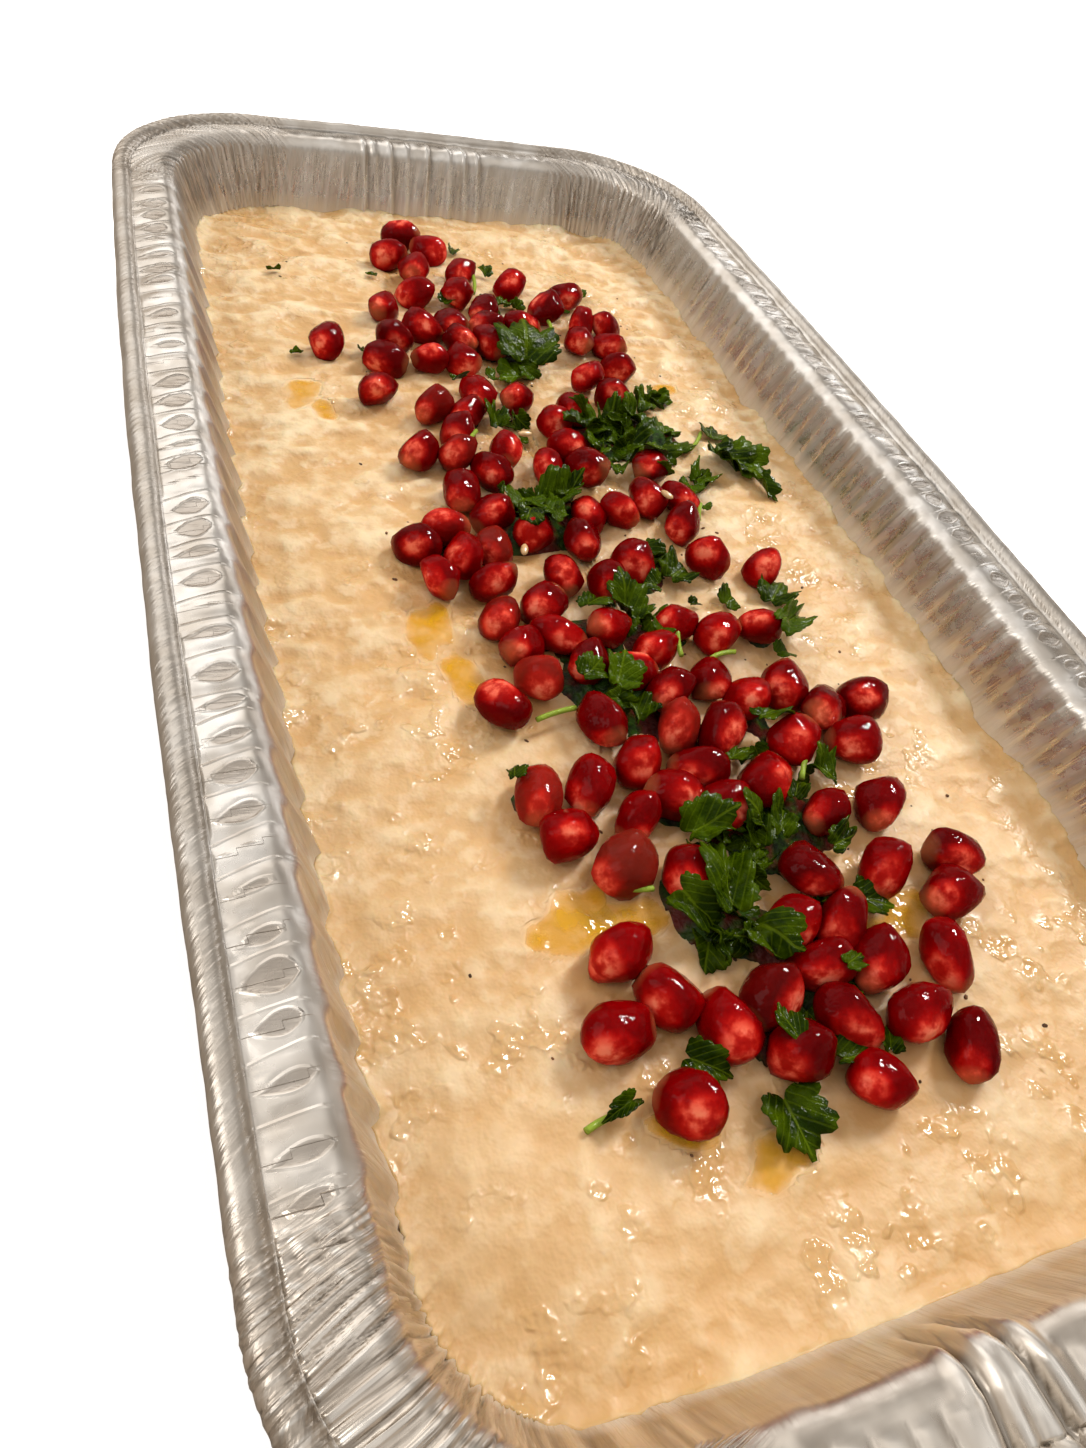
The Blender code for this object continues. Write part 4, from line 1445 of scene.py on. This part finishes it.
STALKS = (
    # (x, y, heading, length)
    (5, 101, 65, 12), (-21, -84, -20, 6), (-22, -48, 20, 8), (43, 32, 40, 9), (19, -66, 60, 7),
    (-37.5, -114, 20, 4), (13, -38, 50, 10), (-16, 30, 60, 5), (29, 3, 70, 6), (20, 80, 70, 7),
    (7, -35, 80, 8),
)
CLUMPS = (
    # (x, y, spread, leaves, length, height in the heap)
    (8, 62, 4, 3, 10, 0.6), (23, 33, 10, 24, 11, 1.0), (38, 50, 4, 6, 10, 0.7), (-6, 7, 6, 10, 9, 0.6),
    (14, -12, 5, 5, 9, 0.3), (2, -27, 5, 6, 9, 0.4), (-9, -46, 4, 5, 9, 0.6), (0, -78, 9, 14, 10, 0.6),
    (-9, -91, 6, 9, 10, 0.7), (12, -90, 6, 5, 9, 0.3), (2, -106, 7, 5, 9, 0.2), (10, 92, 6, 5, 7, 0.3),
    (12, -65, 8, 5, 9, 0.2), (35, 16, 3, 3, 8, 0.3), (-3, 38, 4, 3, 8, 0.4),
)
LONE_LEAVES = {
    # name: (right, along, heading)
    "parsley_leaf_1": (2.5, 7.0, -85),
    "parsley_leaf_2": (0.0, 5.0, 290),
}

print(len(LEAVES), "leaves by hand,", sum(row[3] for row in CLUMPS), "in clumps,", len(STALKS), "stalks")

# %% [markdown]
# ## Laying the parsley on the heap
# A leaf drapes over what is under it. Only the height of the heap is needed for that: the dip,
# or the top of an aril where one is near. A leaf's points are lifted on to that height, which
# bends it over the arils. At the end a Solidify modifier gives all the leaves their thickness.

# %% Parsley
def heap_top(x, y):
    """The height of the highest thing under a point: the dip or an aril."""
    top = dip_height(x, y)
    near = np.hypot(aril_centres[:, 0] - x, aril_centres[:, 1] - y)
    for k in np.nonzero(near < 6.2)[0]:
        top = max(top, aril_centres[k, 2] + 4.3 * math.sqrt(1 - (near[k] / 6.2) ** 2))
    return top


def heap_point(x, y, rise):
    """A point over the dip, at a share of the heap's height there."""
    around = [heap_top(x + dx, y + dy) for dx, dy in ((0, 0), (4, 0), (-4, 0), (0, 4), (0, -4))]
    ground = dip_height(x, y)
    return x, y, ground + 0.8 + rise * (sum(around) / len(around) - ground)


def rest_for(rise):
    """What a leaf lies on: the whole heap for the top leaves, or only the dip."""
    return heap_top if rise > 0.75 else dip_height


def add_clump(bm, rng, x, y, spread, leaves, length, rise):
    """A ruffled heap of chopped bits that lie every way."""
    for _ in range(leaves):
        lift = rise * rng.uniform(0.5, 1.5)
        place = heap_point(x + rng.gauss(0, spread / 2), y + rng.gauss(0, spread / 2), lift)
        size, width, curl = length * rng.uniform(0.7, 1.2), rng.uniform(0.7, 1.1), rng.uniform(0.6, 1.6)
        tilts = rng.gauss(0, 0.5), rng.gauss(0, 0.5)
        heading, cuts = rng.uniform(0, 360), rng.choice((1, 1, 2))
        add_leaf(bm, rng, place, heading, size, width, curl, *tilts, cuts, rest_for(lift))


def add_lone_leaf(bm, rng, name, right, along, heading):
    """A leaf that lies apart, in the place of its CAD node."""
    low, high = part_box(name)
    middle, size = (low + high) / 2 / MM, (high - low) / MM
    x, y = middle.x + right, middle.y + along
    place = (x, y, dip_height(x, y) + 1.0)
    add_leaf(bm, rng, place, heading, 1.15 * size.y, 0.9, 0.4, rest=dip_height)


def make_parsley(materials):
    rng = random.Random(21)
    bm = bmesh.new()
    bm.verts.layers.float_vector.new("leaf")
    for x, y, heading, length, width, curl, rise, cuts in LEAVES:
        tilts = rng.gauss(0, 0.15), rng.gauss(0, 0.2)
        place = heap_point(x, y, rise)
        add_leaf(bm, rng, place, heading, length, width, curl, *tilts, cuts, rest_for(rise))
    for clump in CLUMPS:
        add_clump(bm, rng, *clump)
    for name, move in LONE_LEAVES.items():
        add_lone_leaf(bm, rng, name, *move)
    for x, y, heading, length in STALKS:
        add_stalk(bm, rng, heap_point(x, y, 0.6), heading, length)
    mesh = mesh_of(bm, "parsley_leaves")
    piece = finish_piece("parsley_leaves", mesh, materials, list(LONE_LEAVES))
    thick = piece.modifiers.new("leaf", "SOLIDIFY")
    thick.thickness = 0.18 * MM
    return piece


# %% [markdown]
# ## The leaves' finish
# Chopped parsley is dark and wet. A paler midrib runs down each leaf and side veins leave it like
# a feather. The veins are drawn from the leaf's own coordinates, so they follow every curl.

# %% Parsley material
def make_leaf_material():
    material, tree, shader, place = new_material(
        "parsley_leaf",
        Roughness=0.16,
        Specular_IOR_Level=0.035,
    )
    along, side, shade = parts_of(tree, read_mask(tree, "leaf", "Vector"))
    across = math_of(tree, "ABSOLUTE", side)
    feather = math_of(tree, "SINE", times(tree, math_of(tree, "SUBTRACT", along, across), 26.0))
    midrib = ramp(tree, across, 0.05, 0.02)
    veins = math_of(tree, "MAXIMUM", midrib, times(tree, ramp(tree, feather, 0.6, 1.0), 0.5))
    green = mix(tree, shade, (0.006, 0.016, 0.0002), (0.042, 0.082, 0.0004))
    tints = (
        # (share of the colour, colour): yellower patches, the veins, the stalks
        (times(tree, patches(tree, place, 4.0), 0.45), (0.085, 0.140, 0.0006)),
        (times(tree, veins, 0.4), (0.17, 0.25, 0.008)),
        (ramp(tree, shade, 1.4, 1.6), (0.30, 0.42, 0.05)),
    )
    for share, colour in tints:
        green = mix(tree, share, green, colour)
    put(tree, shader.inputs["Base Color"], green)
    blisters = patches(tree, place, 1.0, 0.3, 0.7, 3.0)
    add_bump(tree, shader, math_of(tree, "SUBTRACT", blisters, times(tree, veins, 1.2)), 0.6, 0.2)
    return material


parsley = make_parsley([make_leaf_material()])

# %% [markdown]
# ## The core under the garnish
# Under the crowded parts lie chopped parsley and wet arils that can't be told apart. They are one
# low core: a grid over the heap, cut to where the garnish is dense, raised and closed below.

# %% Garnish core
def core_rise(x, y):
    """How far the core stands over the dip: up to a few millimetres under the crowded parts."""
    near = np.hypot(aril_centres[:, 0] - x, aril_centres[:, 1] - y)
    crowd = float(np.exp(-((near / 5.5) ** 2)).sum())
    leaves = sum(math.exp(-(((x - row[0]) ** 2 + (y - row[1]) ** 2) / 40)) for row in LEAVES if row[6] > 0.5)
    rise = 3.2 * smooth((crowd + 0.8 * leaves - 1.15) / 1.1)
    return rise * (1 + 0.35 * noise.noise((x / 2.2, y / 2.2, 3.0))) - 0.35


def make_core(materials):
    low, high = heap_low / MM, heap_high / MM
    bm = bmesh.new()
    across, along = int(high.x - low.x), int(high.y - low.y)
    bmesh.ops.create_grid(bm, x_segments=across, y_segments=along, size=0.5)
    for vert in bm.verts:
        x = low.x + (vert.co.x + 0.5) * (high.x - low.x)
        y = low.y + (vert.co.y + 0.5) * (high.y - low.y)
        vert.co = (x, y, core_rise(x, y))
    bare = [vert for vert in bm.verts if vert.co.z < -0.3]
    bmesh.ops.delete(bm, geom=bare, context="VERTS")
    below = bmesh.ops.extrude_face_region(bm, geom=bm.faces[:])["geom"]
    raised = {g for g in below if isinstance(g, bmesh.types.BMVert)}
    for vert in bm.verts:
        x, y = vert.co.xy
        ground = dip_height(x, y)
        vert.co = Vector((x, y, ground + vert.co.z if vert in raised else ground - 1.0)) * MM
    bmesh.ops.recalc_face_normals(bm, faces=bm.faces)
    return finish_piece("garnish_core", mesh_of(bm, "garnish_core"), materials, ["garnish_heap"])


def make_core_material():
    material, tree, shader, place = new_material("wet_garnish", Roughness=0.5, Specular_IOR_Level=0.3)
    green = mix(tree, patches(tree, place, 1.8, 0.35, 0.65, 3.0), (0.006, 0.016, 0.002), (0.03, 0.08, 0.005))
    red = mix(tree, patches(tree, place, 6.0, 0.45, 0.6), green, (0.09, 0.008, 0.004))
    put(tree, shader.inputs["Base Color"], red)
    add_bump(tree, shader, patches(tree, place, 1.5, 0.3, 0.7, 3.0), 0.8, 0.5)
    return material


core = make_core([make_core_material()])

# %% [markdown]
# ## The oil itself
# A pool of oil is a thin clear lens with a rounded edge. Real glass with refraction would cast a
# dark shadow here, because light can't be followed through it cheaply, so the oil is a shallow
# skin over the dip, part see-through, yellow and mirror-smooth.

# %% Olive oil
def make_oil(materials):
    bm = bmesh.new()
    for pool in OIL_POOLS:
        x, y, half_length, half_width, heading = pool
        grid = bmesh.ops.create_grid(bm, x_segments=36, y_segments=36, size=1.35)["verts"]
        turn = Matrix.Rotation(math.radians(heading), 2)
        for vert in grid:
            vert.co.xy = Vector((x, y)) + turn @ Vector((vert.co.x * half_length, vert.co.y * half_width))
            vert.co.z = pool_share(pool, *vert.co.xy)
        bmesh.ops.delete(bm, geom=[vert for vert in grid if vert.co.z <= 0], context="VERTS")
    ragged = [vert for vert in bm.verts if vert.is_boundary]
    for _ in range(2):
        bmesh.ops.smooth_vert(bm, verts=ragged, factor=0.5, use_axis_x=True, use_axis_y=True)
    depth = bm.verts.layers.float.new("depth")
    for vert in bm.verts:
        share = 0.0 if vert.is_boundary else min(1.0, vert.co.z)
        vert[depth] = share
        x, y = vert.co.xy
        vert.co = Vector((x, y, dip_height(x, y) - 0.1 + 0.26 * math.sqrt(share))) * MM
    grown = bmesh.ops.extrude_face_region(bm, geom=bm.faces[:])["geom"]
    top = [g for g in grown if isinstance(g, bmesh.types.BMVert)]
    bmesh.ops.translate(bm, verts=top, vec=(0, 0, 0.02 * MM))
    bmesh.ops.recalc_face_normals(bm, faces=bm.faces)
    return finish_piece("olive_oil", mesh_of(bm, "olive_oil"), materials)


def make_oil_material():
    material, tree, shader, place = new_material(
        "olive_oil",
        Roughness=0.04,
        IOR=1.47,
        Base_Color=(0.90, 0.50, 0.012, 1),
    )
    deepest = 0.42  # how much the oil hides where it is deepest
    clear = ramp(tree, read_mask(tree, "depth"), 0.0, 0.9, deepest)
    mottle = math_of(tree, "MULTIPLY_ADD", patches(tree, place, 3.0, 0.35, 0.65, 3.0), 0.7, 0.5)
    put(tree, shader.inputs["Alpha"], times(tree, mottle, clear))
    add_bump(tree, shader, patches(tree, place, 3.6, 0.25, 0.75), 0.6, 0.5)
    return material


oil = make_oil([make_oil_material()])

# %% [markdown]
# ## Flecks of char and pale seeds
# Smoked aubergine leaves dark flecks of skin in the dip, and a few aubergine and sesame seeds lie
# on the heap. Both are icospheres pressed flat: about eighty flecks of a few tenths of a
# millimetre, and a handful of seeds.

# %% Flecks and seeds
SEEDS = ((-15, -7, 70), (14, 67, 20), (-4.5, 28, 0), (21, 5, 120))


def add_grain(bm, place, radii, heading, subdivisions):
    made = bmesh.ops.create_icosphere(bm, subdivisions=subdivisions, radius=MM)["verts"]
    bmesh.ops.scale(bm, verts=made, vec=radii)
    bmesh.ops.rotate(bm, verts=made, cent=(0, 0, 0), matrix=Matrix.Rotation(math.radians(heading), 3, "Z"))
    bmesh.ops.translate(bm, verts=made, vec=Vector(place) * MM)


def make_grains(name, materials, grains, subdivisions):
    bm = bmesh.new()
    for place, radii, heading in grains:
        add_grain(bm, place, radii, heading, subdivisions)
    return finish_piece(name, mesh_of(bm, name), materials)


def lay_flecks(rng, count=85):
    """Flecks lie flat anywhere on the dip, and no two are the same size."""
    grains = []
    for _ in range(count):
        x, y = rng.uniform(-50, 50), rng.uniform(-126, 126)
        size = rng.uniform(0.18, 0.42)
        radii = (size * rng.uniform(1, 1.7), size, 0.1)
        grains.append(((x, y, dip_height(x, y) + 0.02), radii, rng.uniform(0, 360)))
    return grains


def make_grain_material(name, dark, light, roughness):
    material, tree, shader, place = new_material(name, Roughness=roughness)
    put(tree, shader.inputs["Base Color"], mix(tree, patches(tree, place, 1.5, 0.3, 0.7), dark, light))
    return material


fleck_material = make_grain_material("char", (0.05, 0.02, 0.006), (0.22, 0.09, 0.03), 0.5)
flecks = make_grains("char_flecks", [fleck_material], lay_flecks(random.Random(8)), 1)
seed_material = make_grain_material("seed_coat", (0.62, 0.34, 0.13), (0.80, 0.56, 0.28), 0.35)
seed_grains = [((x, y, heap_top(x, y) + 0.4), (1.7, 0.8, 0.6), heading) for x, y, heading in SEEDS]
seeds = make_grains("pale_seeds", [seed_material], seed_grains, 2)

# %% [markdown]
# ## The floor
# The studio's floor is one plain pale sheet. Seen by the camera it is lit a little from within, so
# it stays as pale as the backdrop. In reflections it is a warm grey, like the room that real foil
# would mirror. A floor isn't part of the object.

# %% Floor
def make_floor():
    bm = bmesh.new()
    bmesh.ops.create_grid(bm, x_segments=1, y_segments=1, size=3)
    piece = bpy.data.objects.new("floor", mesh_of(bm, "floor"))
    material, tree, shader, _ = new_material("pale_floor", Roughness=0.8, Emission_Strength=1.0)
    seen_by = add_node(tree, "LightPath").outputs
    colour = mix(tree, seen_by["Is Glossy Ray"], (0.92, 0.92, 0.92), (0.34, 0.29, 0.24))
    put(tree, shader.inputs["Base Color"], colour)
    glow = mix(tree, seen_by["Is Camera Ray"], (0.0, 0.0, 0.0), (0.55, 0.55, 0.55))
    put(tree, shader.inputs["Emission Color"], glow)
    piece.data.materials.append(material)
    bpy.context.scene.collection.objects.link(piece)
    return piece


floor = make_floor()
print("the floor is", round(floor.dimensions.x, 1), "m wide")

# %% [markdown]
# ## The lamps
# The main light is a small soft panel behind on the right, like a window. Foil would throw it
# back as one white glare, so it is left out of reflections. Wet food does need a glint, so two
# smaller lamps there show only in the reflections of the arils and of the dip, by light linking,
# and a low wide one only on the foil. Two dim panels, behind and on the left, fill the shadows.

# %% Lamps
WARM_WHITE = (1.0, 0.97, 0.92)


def group_of(name, pieces):
    """A collection that a light can be kept to. It isn't part of the scene's own tree."""
    group = bpy.data.collections.new(name)
    for piece in pieces:
        group.objects.link(piece)
    return group


def add_panel(name, place, size, power, colour=WARM_WHITE, in_reflections=True, only=None, glint=False):
    """A soft panel, in metres and watts, aimed at the middle of the tray.

    Kept to some pieces, it lights only those. A glint is seen only in reflections.
    """
    light = bpy.data.lights.new(name, "AREA")
    light.shape = "RECTANGLE"
    light.size, light.size_y = size
    light.energy = power
    light.color = colour
    lamp = bpy.data.objects.new(name, light)
    lamp.location = place
    lamp.rotation_euler = (-Vector(place)).to_track_quat("-Z", "Y").to_euler()
    lamp.visible_glossy = in_reflections
    lamp.visible_diffuse = not glint
    if only:
        lamp.light_linking.receiver_collection = only
    bpy.context.scene.collection.objects.link(lamp)
    return lamp


wet_pieces = group_of("wet_pieces", (arils, parsley, seeds))
dip_pieces = group_of("dip_pieces", (dip, oil))
foil_pieces = group_of("foil_pieces", (tray,))
add_panel("window_panel", (0.9, 0.5, 1.0), (0.36, 0.36), 12.6, in_reflections=False)
add_panel("aril_glint", (0.75, 0.50, 1.05), (0.30, 0.20), 55.0, only=wet_pieces, glint=True)
add_panel("dip_glint", (0.85, 0.40, 1.05), (0.24, 0.24), 20.0, only=dip_pieces, glint=True)
add_panel("foil_low", (1.1, 1.2, 0.42), (1.3, 0.3), 2.2, (0.96, 0.98, 1.0), only=foil_pieces)
add_panel("back_panel", (-0.3, 1.2, 1.0), (1.4, 0.9), 4.2, (1.0, 0.97, 0.93))
add_panel("side_panel", (-1.0, 0.1, 0.9), (0.6, 0.8), 4.0, (1.0, 0.97, 0.93))


# %% [markdown]
# ## The world
# Foil shows what is around it, so the world is what gives it tone: bright straight overhead,
# softly pale half way up, and warmer and darker towards the horizon. Broad clouds and a slow
# wave round the horizon make it uneven, as a room is. The camera itself sees a plain pale world.

# %% World
HEIGHT_TONES = (
    # (height over the horizon, colour)
    (0.0, (0.58, 0.48, 0.39)),
    (0.2, (0.80, 0.68, 0.56)),
    (0.5, (0.74, 0.67, 0.60)),
    (0.7, (0.82, 0.77, 0.71)),
    (0.9, (1.45, 1.38, 1.30)),
)


def sky_colour(tree):
    """The colour of the room in every direction."""
    direction = add_node(tree, "TexCoord").outputs["Generated"]
    east, north, up = parts_of(tree, direction)
    tones = add_node(tree, "ValToRGB", {"Fac": up})
    elements = tones.color_ramp.elements
    while len(elements) < len(HEIGHT_TONES):
        elements.new(0.5)
    for element, (position, colour) in zip(elements, HEIGHT_TONES):
        element.position = position
        element.color = (*colour, 1)
    cloud = add_node(tree, "TexNoise", {"Vector": direction, "Scale": 2.6, "Detail": 2.0}).outputs["Fac"]
    uneven = ramp(tree, cloud, 0.35, 0.65, 1.4, 0.6)
    around = math_of(tree, "ARCTAN2", east, north)
    wave = math_of(tree, "SINE", math_of(tree, "MULTIPLY_ADD", around, 8.0, times(tree, cloud, 6.0)))
    low_down = ramp(tree, up, 0.6, 0.2, 0.55)
    shade = math_of(tree, "MULTIPLY_ADD", wave, low_down, uneven)
    sky = add_node(tree, "VectorMath", {0: tones.outputs["Color"], 1: shade}, operation="MULTIPLY")
    return sky.outputs["Vector"]


def make_world():
    world = bpy.data.worlds.new("studio")
    world.use_nodes = True
    tree = world.node_tree
    seen = add_node(tree, "LightPath").outputs["Is Camera Ray"]
    background = tree.nodes["Background"].inputs
    put(tree, background["Color"], mix(tree, seen, sky_colour(tree), (1.7, 1.7, 1.7)))
    background["Strength"].default_value = 0.55
    bpy.context.scene.world = world


make_world()
bpy.context.scene.view_settings.view_transform = "Standard"
